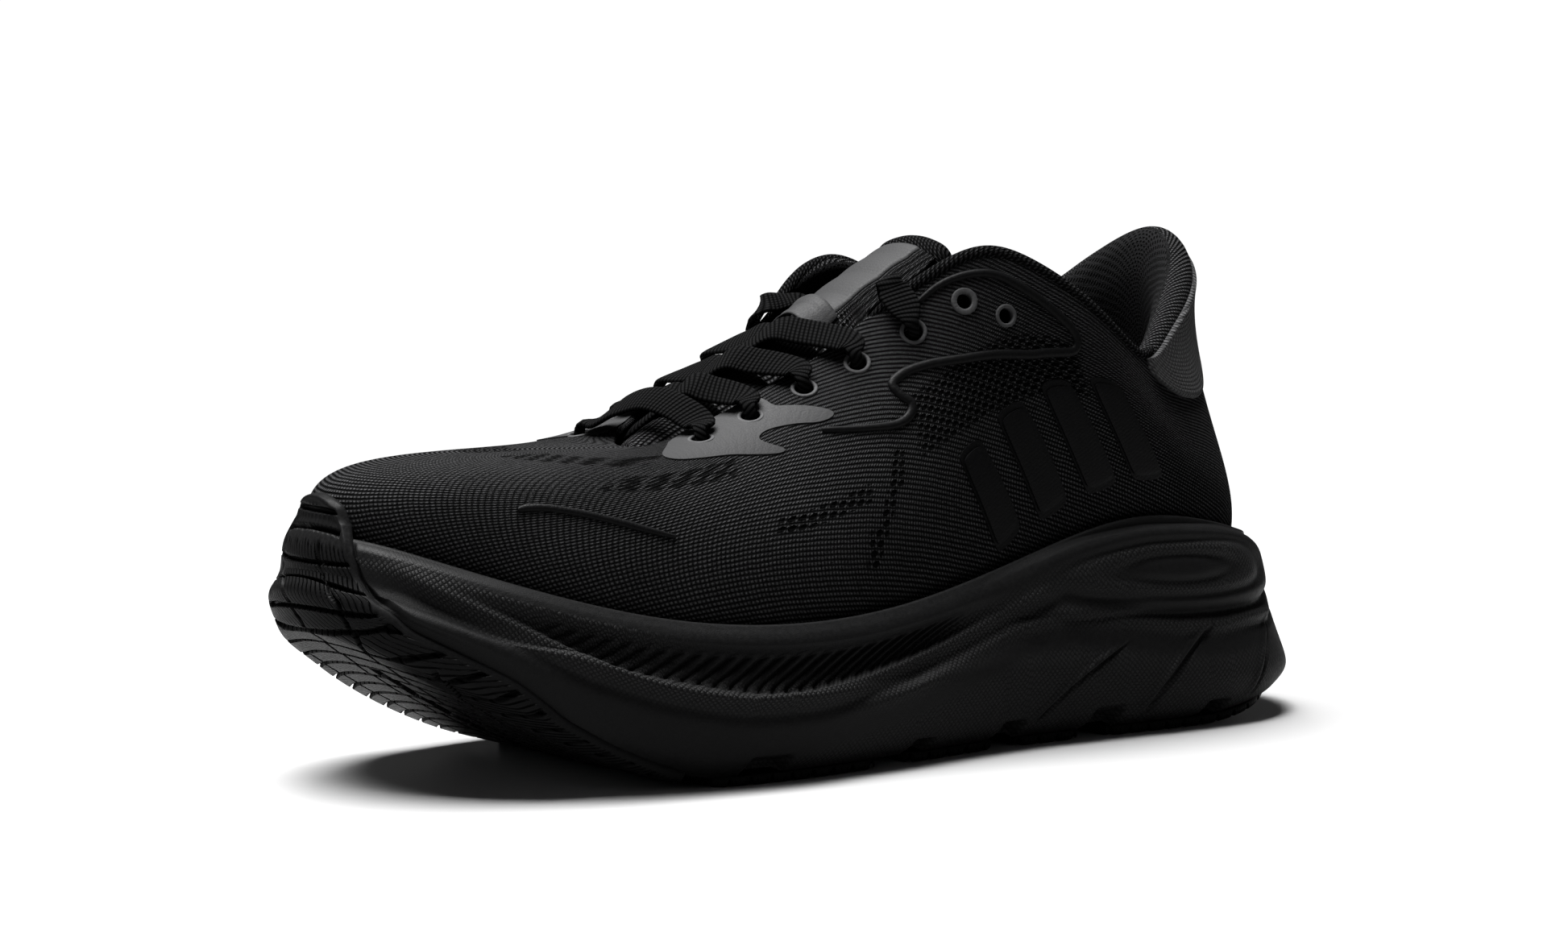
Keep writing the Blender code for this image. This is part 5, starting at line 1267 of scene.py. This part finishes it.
def lace_keys():
    """Route of the lace from one tucked end over the bottom bar to the other: (point, width direction, width)."""
    W = 8.2
    sides = {"L": EYES_L, "M": EYES_M}
    other = {"L": "M", "M": "L"}
    X = np.array([0.74, 0.0, 0.62])

    def at(side, k, d, ds=0.0):
        t, s = sides[side][k]
        p, n, a = frame_at(t, s)
        b = np.cross(n, a)
        b *= np.sign(b[0])
        return p + n * d + a * ds, b, a

    def enter(side, k):
        """From the throat edge over the knit, down through the eyelet and back underneath."""
        return [(at(side, k, 2.5, 5.6)[0], at(side, k, 0)[1], W), (at(side, k, 2.4, 1.5)[0], at(side, k, 0)[1], 3.6),
                (at(side, k, 0.3, 0.0)[0], at(side, k, 0)[1], 3.0), (at(side, k, -2.2, 0.2)[0], at(side, k, 0)[1], 3.0),
                (at(side, k, -3.3, 2.2)[0], at(side, k, 0)[1], 3.6)]

    def emerge(side, k, k2):
        """Comes out from under the throat edge between two eyelets."""
        t1, t2 = sides[side][k][0], sides[side][k2][0]
        p, n, a = frame_at(t1 + (t2 - t1) * 0.45, 0.985)
        return [(p - n * 3.4 - a * 2.0, X, W - 1.5), (p - n * 1.9 + a * 3.6, X, W - 0.6)]

    def cross(a, b, over):
        out = []
        for f, h in ((0.3, 0.6), (0.5, 1.0), (0.7, 0.65)):
            m = a + (b - a) * f
            m[2] = m[2] + (crown(m[0]) + 1.2 + over - m[2]) * h
            out.append((m, X, W))
        return out

    def strand(first):
        side = first
        keys = enter(side, 0)
        for k in range(1, 4):
            em = emerge(side, k - 1, k)
            side2 = other[side]
            en = enter(side2, k)
            over = 3.3 if (k + (first == "L")) % 2 else 1.3
            keys += em + cross(em[-1][0], en[0][0], over) + en
            side = side2
        p, b, a = at(side, 3, -3.3, 0.6)
        q, b2, a2 = at(side, 4, -3.4, 0.4)
        keys = keys[:-1] + [(p + (q - p) * 0.25, -a, 3.2), (p + (q - p) * 0.55, -a, 3.2), (p + (q - p) * 0.85, -a, 3.0)]
        r = at(side, 4, 0)[1]
        keys += [(at(side, 4, -1.4, 0.0)[0], -a2 + r, 3.0), (at(side, 4, 0.4, 0.0)[0], r, 3.0), (at(side, 4, 2.4 if side == "L" else 1.7, 1.6)[0], r, 3.8),
                 (at(side, 4, 2.3 if side == "L" else 1.5, 6.0)[0], r, W if side == "L" else 6.6)]
        p, n, a = frame_at(sides[side][4][0], 0.995)
        keys += [(p + n * (2.2 if side == "L" else 1.5) + a * 1.2, r, W if side == "L" else 6.6)]
        return keys

    A, B = strand("L"), strand("M")
    bar = [((A[0][0] * (1 - f) + B[0][0] * f) + np.array([0, 0, h]), X, W) for f, h in ((0.25, 4.2), (0.5, 6.0), (0.75, 4.2))]
    return A[::-1] + bar + B


def rest(x, y):
    return np.array([x, y, float(footbed(x)) + 6.9 + LACE_T / 2])


def end_keys(side):
    t, s = (EYES_L if side < 0 else EYES_M)[4]
    p, n, a = frame_at(t, 0.995)
    b = np.cross(n, a)
    b *= np.sign(b[0])
    start = p + n * 2.3 + a * 1.9
    V = np.array([1.0, 0.0, 0.3])
    F = np.array([1.0, 0.0, 0.0])
    G = np.array([0.0, 1.0, 0.0])
    if side < 0:
        return [(start, b, LACE_W), (start + a * 2.4 - n * 0.3, b, LACE_W), (np.array([13.5, -15.4, 113.2]), V, 5.6),
                (np.array([15.5, -15.0, 108.0]), V, 5.6), (np.array([18, -17.0, 97.0]), F, LACE_W), (np.array([22, -22.0, 80.0]), F, LACE_W),
                (np.array([29, -25.5, 62.0]), F, LACE_W), (np.array([38, -26.0, 48.6]), F - G * 0.5, LACE_W), (rest(50, -24.0), -G, LACE_W),
                (rest(66, -22.5), -G, LACE_W), (rest(80, -20.5), -G, LACE_W), (rest(92, -16.5), -G - F * 0.5, LACE_W),
                (rest(98.5, -8.5), -F, LACE_W), (rest(97, 0), G - F * 0.4, LACE_W), (rest(88, 6.0), G, LACE_W), (rest(74, 7.5), G, LACE_W),
                (rest(58, 6.5), G, LACE_W), (rest(42, 5), G, LACE_W), (rest(30, 4), G, 4.0), (rest(24, 3.6), G, 2.6)]
    start = start + a * 0.7 - n * 0.7
    return [(start, b, LACE_W), (start + a * 1.7 + b * 0.8 - n * 0.4, b, LACE_W), (np.array([9.0, 19.2, 113.2]), V - a * 0.4, 5.6),
            (np.array([14.5, 19.6, 110.0]), V, 5.0), (np.array([17, 20.0, 101.0]), V, 5.6), (np.array([19.5, 21.5, 88.0]), F, LACE_W),
            (np.array([22, 23.4, 72.0]), F, LACE_W), (np.array([20, 24.0, 56.0]), F, LACE_W), (np.array([10, 24.0, 42.6]), F * 0.5 + G * 0.6, LACE_W),
            (rest(-4, 23.5), G, LACE_W), (rest(-18, 24.5), G, LACE_W), (rest(-31, 24), G - F * 0.3, LACE_W), (rest(-42, 20), G - F, LACE_W),
            (rest(-46.5, 11), -F, LACE_W), (rest(-42, 2), -G - F, LACE_W), (rest(-31, -3.5), -G - F * 0.2, LACE_W), (rest(-16, -6), -G, LACE_W),
            (rest(0, -8), -G, LACE_W), (rest(12, -9), -G, 4.0), (rest(18, -9.4), -G, 2.6)]




def band(name, keys, body, nodes, mat=LACE_M):
    """Flat woven lace with round edges along a route."""
    q, l = resample(keys, 0.9)
    P, A, W = q[:, :3].copy(), q[:, 3:6], q[:, 6]
    D = np.gradient(P, axis=0)
    D /= np.linalg.norm(D, axis=-1, keepdims=True)
    R = A - D * (A * D).sum(-1, keepdims=True)
    R /= np.linalg.norm(R, axis=-1, keepdims=True)
    for _ in range(3):
        R[1:-1] = R[:-2] + R[2:] + R[1:-1]
        R -= D * (R * D).sum(-1, keepdims=True)
        R /= np.linalg.norm(R, axis=-1, keepdims=True)
    U = np.cross(R, D)
    c = 25
    w = np.linspace(0, math.tau, c)
    ex = np.sign(np.cos(w)) * np.abs(np.cos(w)) ** 0.55
    ey = np.sign(np.sin(w)) * np.abs(np.sin(w)) ** 0.75
    thick = np.clip(LACE_T * (LACE_W / np.maximum(W, 1)) ** 0.55, LACE_T, 2.6)
    G = P[:, None] + R[:, None] * (ex[None, :, None] * W[:, None, None] / 2) + U[:, None] * (ey[None, :, None] * thick[:, None, None] / 2)
    n = len(P)
    k = n * c
    V = np.concatenate([G.reshape(-1, 3), P[:1], P[-1:]])
    L = np.linspace(0, l, n)
    uv = np.stack([np.repeat(L[:, None], c, 1), np.repeat((ex * 3.3)[None], n, 0)], -1)
    F = quads(n, c)
    ob = build(name, V[:k], F, mat, uv.reshape(-1, 2), body=body, stands_for=nodes)
    bm = bmesh.new()
    bm.from_mesh(ob.data)
    bmesh.ops.holes_fill(bm, edges=[e for e in bm.edges if e.is_boundary], sides=0)
    bm.to_mesh(ob.data)
    bm.free()
    print("lace", name, round(l, 1), "mm")
    return ob, P


ends = {"lateral": end_keys(-1), "medial": end_keys(1)}
FOLD = 4
keys = lace_keys()
head = [k for k in ends["medial"][:FOLD]][::-1]
tail = [k for k in ends["lateral"][:FOLD]]
band("lace_threaded", head + keys + tail, "rearfoot", ("shoelace",))


def aglet(name, p, d, node):
    k, prof = 24, [(0, 0.0), (0, 1.15), (0.4, 1.3), (7, 1.25), (13, 1.2), (19.2, 1.15), (20.0, 0.9), (20.2, 0.0)]
    d = d / np.linalg.norm(d)
    u = np.cross(d, [0, 0, 1.0])
    u /= np.linalg.norm(u)
    v = np.cross(u, d)
    G = np.array([[p + d * a + (u * math.cos(w) + v * math.sin(w)) * r for a, r in prof] for w in np.linspace(0, math.tau, k + 1)])
    uv = np.stack(np.meshgrid(np.linspace(0, 8, k + 1), np.linspace(0, 20, len(prof)), indexing="ij"), -1)
    return build(name, G, quads(k + 1, len(prof)), PLASTIC_M, uv, body="rearfoot", stands_for=(node,))


for side in ("lateral", "medial"):
    ks = ends[side][FOLD - 1:]
    ob, P = band(f"lace_free_{side}", ks, "rearfoot", (f"lace_end_{side}",))
    d = P[-1] - P[-8]
    d[2] = 0
    d /= np.linalg.norm(d)
    far = P[-1] + d * 20
    dz = (float(footbed(far[0])) - float(footbed(P[-1][0])))
    tip = aglet(f"aglet_tip_{side}", P[-1] - d * 0.5 + np.array([0, 0, 0.45]), d + np.array([0, 0, dz / 20]), f"aglet_{side}")
    pick = list(range(0, len(P), 3))
    if pick[-1] != len(P) - 1:
        pick.append(len(P) - 1)

# ---- rubber


def toe_outer(t, w, d):
    """Toe rubber surface: w = -1 at the middle of the tread, 0 at its edge, 1 at the rim, 1.4 on the knit."""
    rows = wall_rows(t)
    pts = [np.concatenate([plan(t, i), z[..., None]], -1) for i, z in rows[:6]]
    mirror = wall_rows(-t)
    edge, other = pts[0], np.concatenate([plan(-t, mirror[0][0]), mirror[0][1][..., None]], -1)
    mid = (edge + other) / 2
    mid[..., 2] = ground(mid[..., 0]) + RUBBER + GAP
    knots = [mid] + pts
    kw = [-1, 0, 0.25, 0.5, 0.68, 0.85, 1.0]
    up = [skin(t, np.full(t.shape, s), np.full(t.shape, 0.0)) for s in (0.17, 0.24, 0.30)]
    knots += up
    kw += [1.12, 1.26, 1.4]
    K = np.stack(knots, 0)
    w = np.clip(w, -1, 1.4)
    i = np.clip(np.searchsorted(kw, w, side="right") - 1, 0, len(kw) - 2)
    kw = np.array(kw)
    u = (w - kw[i]) / (kw[i + 1] - kw[i])
    idx = np.indices(t.shape)
    a = K[(i, *idx)]
    b = K[(i + 1, *idx)]
    return a + (b - a) * u[..., None]


def groove(x, pitch, width):
    """1 inside narrow cuts every pitch."""
    r = np.abs(x / pitch - np.round(x / pitch)) * pitch
    return 1 - step(r, width * 0.5 - 0.12, width * 0.5 + 0.22)


def toe_rubber():
    nt = 620
    t = np.linspace(-3.14, 3.14, nt)
    w = np.concatenate([np.linspace(-1, 0, 84), np.linspace(0, 1, 120)[1:], np.linspace(1, 1.4, 50)[1:]])
    T, J = np.meshgrid(t, w, indexing="ij")
    topw = toe_top(T)
    # rows are squeezed under the rubber's edge, so that the edge is a smooth line
    k = (J + 1) / 2.4
    W = -1 + k * (topw + 1)
    M = toe_outer(T, W, 0)
    for _ in range(40):
        M[1:-1, 1:-1] = (M[:-2, 1:-1] + M[2:, 1:-1] + M[1:-1, :-2] + M[1:-1, 2:] + 2 * M[1:-1, 1:-1]) / 6
    e = 0.02
    dT = toe_outer(T + e, W, 0) - toe_outer(T - e, W, 0)
    dW = toe_outer(T, np.minimum(W + e, 1.4), 0) - toe_outer(T, np.maximum(W - e, -1), 0)
    N = np.cross(dT, dW)
    N /= np.maximum(np.linalg.norm(N, axis=-1, keepdims=True), 1e-9)
    slope = ground(M[..., 0] + 0.5) - ground(M[..., 0] - 0.5)
    down = np.stack([slope, 0 * slope, -np.ones_like(slope)], -1)
    down /= np.linalg.norm(down, axis=-1, keepdims=True)
    kk = np.clip(-W * 2.0 + 0.4, 0, 1)[..., None]
    N = N * (1 - kk) + down * kk
    N /= np.linalg.norm(N, axis=-1, keepdims=True)
    for _ in range(16):
        N[1:-1, 1:-1] = N[:-2, 1:-1] + N[2:, 1:-1] + N[1:-1, :-2] + N[1:-1, 2:] + 2 * N[1:-1, 1:-1]
        N /= np.linalg.norm(N, axis=-1, keepdims=True)
    # length down the middle of the toe and on under the foot: every cut across the tread lies at one value of it
    wm = np.linspace(1.4, 0.0, 160)
    front = toe_outer(np.full(160, -0.2), wm, 0)[:, [0, 2]]
    xs = np.arange(front[-1, 0] + 0.5, -60, 0.4)
    mid = np.concatenate([front, np.stack([xs, ground(xs) + RUBBER + GAP + (front[-1, 1] - ground(xs[0]) - RUBBER - GAP) * np.exp(-(xs - xs[0]) / 4)], -1)])
    g = np.concatenate([[0], np.cumsum(np.linalg.norm(np.diff(mid, axis=0), axis=1))])
    Q = M[..., [0, 2]].reshape(-1, 2)
    best = np.empty(len(Q))
    for a in range(0, len(Q), 4000):
        dd = (Q[a:a + 4000, None, 0] - mid[None, :, 0]) ** 2 + (Q[a:a + 4000, None, 1] - mid[None, :, 1]) ** 2
        best[a:a + 4000] = g[np.argmin(dd, 1)]
    Gd = best.reshape(M.shape[:2])
    for _ in range(12):
        Gd[1:-1, 1:-1] = (Gd[:-2, 1:-1] + Gd[2:, 1:-1] + Gd[1:-1, :-2] + Gd[1:-1, 2:]) / 4
    # distance to the rubber's edge
    rim = M[:, -1]
    edge = (1.0 - k) * 110
    near = k > 0.72
    pts = M[near]
    dist = np.empty(len(pts))
    for a in range(0, len(pts), 4000):
        dist[a:a + 4000] = np.sqrt(((pts[a:a + 4000, None] - rim[None]) ** 2).sum(-1).min(1))
    edge[near] = np.minimum(edge[near] + 2, dist)
    edge = np.minimum(edge, np.minimum(T + 3.14, 3.14 - T) * 40)
    y = M[..., 1] - 6.0
    bow = Gd - 0.008 * y**2 * step(Gd, 18, 34)
    cut = groove(bow - 17.0, 5.6, 0.85) * step(Gd, 14.5, 15.5)
    slots = np.maximum(groove(Gd - 4.0, 400, 1.1), groove(Gd - 9.8, 400, 1.1)) * (1 - step(Gd, 12, 13)) * (np.abs(M[..., 1] - 8.5) < 11.5)
    zig = 0.55 * np.sign(np.sin((bow - 17.0) * math.pi / 5.6))
    l1 = np.interp(Gd, [11, 16, 22, 28, 32, 38, 60], [22, 20, 17, 10, 6.5, 6, 9])
    l2 = np.interp(Gd, [13, 16, 21, 27.6, 32, 38, 60], [3, 1.8, -1.2, -7.4, -9.7, -10.5, -9])
    long_ = np.maximum(1 - step(np.abs(M[..., 1] - l1 - zig), 0.35, 0.8), 1 - step(np.abs(M[..., 1] - l2 - zig), 0.35, 0.8)) * step(Gd, 12.5, 14)
    for y0 in (-27.0, 30.0):
        long_ = np.maximum(long_, (1 - step(np.abs(M[..., 1] - y0 - zig), 0.35, 0.8)) * step(Gd, 50, 53))
    chan = (1 - step(np.abs(M[..., 1] - 0.5 - zig), 1.8, 2.8)) * step(Gd, 50, 58)
    marks = np.maximum(np.maximum(cut, long_), np.maximum(slots, chan))
    deep = np.maximum(np.maximum(cut, long_) * 1.3, np.maximum(slots * 1.3, chan * 1.6))
    dome = 1 - step(Gd, 13.0, 14.5)
    ribs = bell((y / 1.7 - np.round(y / 1.7)) * 1.7, 0.28) * dome * step(edge, 2.4, 3.2) * 0.28
    lip = np.sqrt(np.clip(edge / 1.3, 0, 1))
    fade = step(edge, 0.9, 1.8)
    low = step(Gd, 20, 26)
    fade = np.maximum(fade * (1 - low) * (1 - step(Gd, 0, 14) * 0.5), fade)
    deep = deep * fade
    bead = 0.6 * bell(edge - 1.5, 0.9) * (1 - step(Gd, 9, 18))
    thick = 0.6 + (RUBBER - 0.6) * lip - deep + bead + ribs * (1 - marks)
    outer = M + N * thick[..., None]
    inner = M + N * 0.35
    outer[..., 2] = np.maximum(outer[..., 2], 0.0)
    V, F = shell(outer, inner)
    # tread coordinates: along the shoe and across it
    uv = np.stack([bow, M[..., 1]], -1)
    sip = step(Gd, 12.5, 14) * step(edge, 0.8, 1.6)
    # the groove marks also go to the material, which paints them near-black as painted shade
    build("toe_rubber", V, F, RUBBER_M, np.concatenate([uv.reshape(-1, 2)] * 2),
          {"sipes": np.concatenate([sip.ravel(), np.zeros(sip.size)]), "groove_shade": np.concatenate([(marks * fade).ravel(), np.zeros(sip.size)])},
          body="forefoot", stands_for=("toe_outsole",))


toe_rubber()


def tread_pad(name, x0, x1, side, reach, inset=6.0):
    """Rubber pad with cut blocks on its lower face."""
    xs = np.arange(x0, x1 + 0.01, 0.55)
    ts = np.linspace(0.3, 9.9, 400) if side < 0 else np.linspace(19.7, 10.1, 400)
    ed = plan(ts, inset)
    order = np.argsort(ed[:, 0])
    ye = np.interp(xs, ed[order, 0], ed[order, 1])
    # round corners
    u = np.clip(np.minimum(xs - x0, x1 - xs) / 6.0, 0, 1)
    corner = (1 - np.sqrt(np.clip(1 - (1 - u) ** 2, 0, 1))) * 5
    y1 = ye + (1.5 - ye) * reach
    s = np.sign(y1 - ye)
    a, b = ye + s * corner * 0.6, y1 - s * corner
    m = int(abs(y1 - ye).max() / 0.55) + 2
    f = np.linspace(0, 1, m)
    X = np.repeat(xs[:, None], m, 1)
    Y = a[:, None] + (b - a)[:, None] * f[None]
    wav = 1.3 * np.sin(Y / 5.0)
    cut = groove(X + wav + 0.35 * np.abs(Y), 6.2, 1.1)
    mid = (a + b)[:, None] / 2
    cut = np.maximum(cut, 1 - step(np.abs(Y - mid - 0.9 * np.sin(X / 3.1)), 0.4, 0.9))
    e = np.minimum(np.minimum(X - x0, x1 - X), np.minimum(np.abs(Y - a[:, None]), np.abs(Y - b[:, None])))
    z = ground(X)
    # the outer edge is notched by the cuts and rolls up to the foam
    lo = np.stack([X, Y, z + 1.35 * cut + 0.9 * (1 - np.sqrt(np.clip(e / 1.2, 0, 1)))], -1)
    hi = np.stack([X, Y, z + RUBBER + 0.25], -1)
    V, F = shell(lo, hi)
    uv = np.stack([X, Y], -1)
    sip = np.ones_like(X) * 0.8
    # the cut mask also goes to the material, which paints the grooves near-black as painted shade
    build("tread_" + name[8:], V, F, RUBBER_M, np.concatenate([uv.reshape(-1, 2)] * 2),
          {"sipes": np.concatenate([sip.ravel(), np.zeros(sip.size)]), "groove_shade": np.concatenate([cut.ravel(), np.zeros(sip.size)])},
          body="rearfoot", stands_for=(name,))


tread_pad("outsole_ball_lateral", -66, -14, -1, 0.55)
tread_pad("outsole_ball_medial", -66, -14, 1, 0.55)
tread_pad("outsole_mid_lateral", -4, 28, -1, 0.5)
tread_pad("outsole_mid_medial", -4, 22, 1, 0.4)
tread_pad("outsole_heel_lateral", 66, 140, -1, 0.72)
tread_pad("outsole_heel_medial", 60, 140, 1, 0.72)
tread_pad("outsole_arch_lateral", 36, 58, -1, 0.45)

# ---- sockliner: cloth-topped foam on the footbed


def sockliner():
    n, m = 340, 70
    t = np.linspace(0, 10, n)
    rz, ri, bz, si = np.moveaxis(SOLE(t), -1, 0)
    A = plan(t, ri + RUBBER * toe(t) + 8.2)
    rz, ri, bz, si = np.moveaxis(SOLE(20 - t), -1, 0)
    B = plan(20 - t, ri + RUBBER * toe(20 - t) + 8.2)
    f = np.linspace(0, 1, m)
    XY = A[:, None] * (1 - f[None, :, None]) + B[:, None] * f[None, :, None]
    e = np.minimum(f, 1 - f)[None] * np.linalg.norm(A - B, axis=1)[:, None]
    r = np.sqrt(np.clip(e / 2.0, 0, 1))
    z = footbed(XY[..., 0])
    hi = np.concatenate([XY, (z + 3.6 + 2.6 * r)[..., None]], -1)
    lo = np.concatenate([XY, (z + 1.9)[..., None]], -1)
    V, F = shell(hi, lo)
    build("sockliner_cloth", V, F, LINING_M, np.concatenate([XY.reshape(-1, 2)] * 2), blend=FORE_BLEND, stands_for=("sockliner_front", "sockliner_rear"))


sockliner()

# hidden pieces keep their CAD solids
for node, mt in (("strobel_board_front", LINING_M), ("strobel_board_rear", LINING_M), ("toe_puff", PLASTIC_M), ("heel_counter", PLASTIC_M)):
    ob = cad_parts[node]
    for s_ in ob.material_slots:
        s_.material = mt

# ---- floor

floor_m = bpy.data.materials.new("floor")
floor_m.use_nodes = True
nt = floor_m.node_tree
b = nt.nodes["Principled BSDF"]
b.inputs["Base Color"].default_value = (0.25, 0.25, 0.25, 1)
b.inputs["Roughness"].default_value = 0.22
b.inputs["Specular IOR Level"].default_value = 0.12
bm = bmesh.new()
N_ = 48
rings = [0.01, 0.25, 0.45, 0.65]
prev = None
for r_ in rings:
    cur = [bm.verts.new((r_ * math.cos(math.tau * i / N_), r_ * math.sin(math.tau * i / N_), 0.0)) for i in range(N_)]
    if prev:
        for i in range(N_):
            bm.faces.new([prev[i], cur[i], cur[(i + 1) % N_], prev[(i + 1) % N_]])
    else:
        bm.faces.new(cur)
    prev = cur
me = bpy.data.meshes.new("floor")
bm.to_mesh(me)
bm.free()
me.materials.append(floor_m)
floor = bpy.data.objects.new("floor", me)
scene.collection.objects.link(floor)
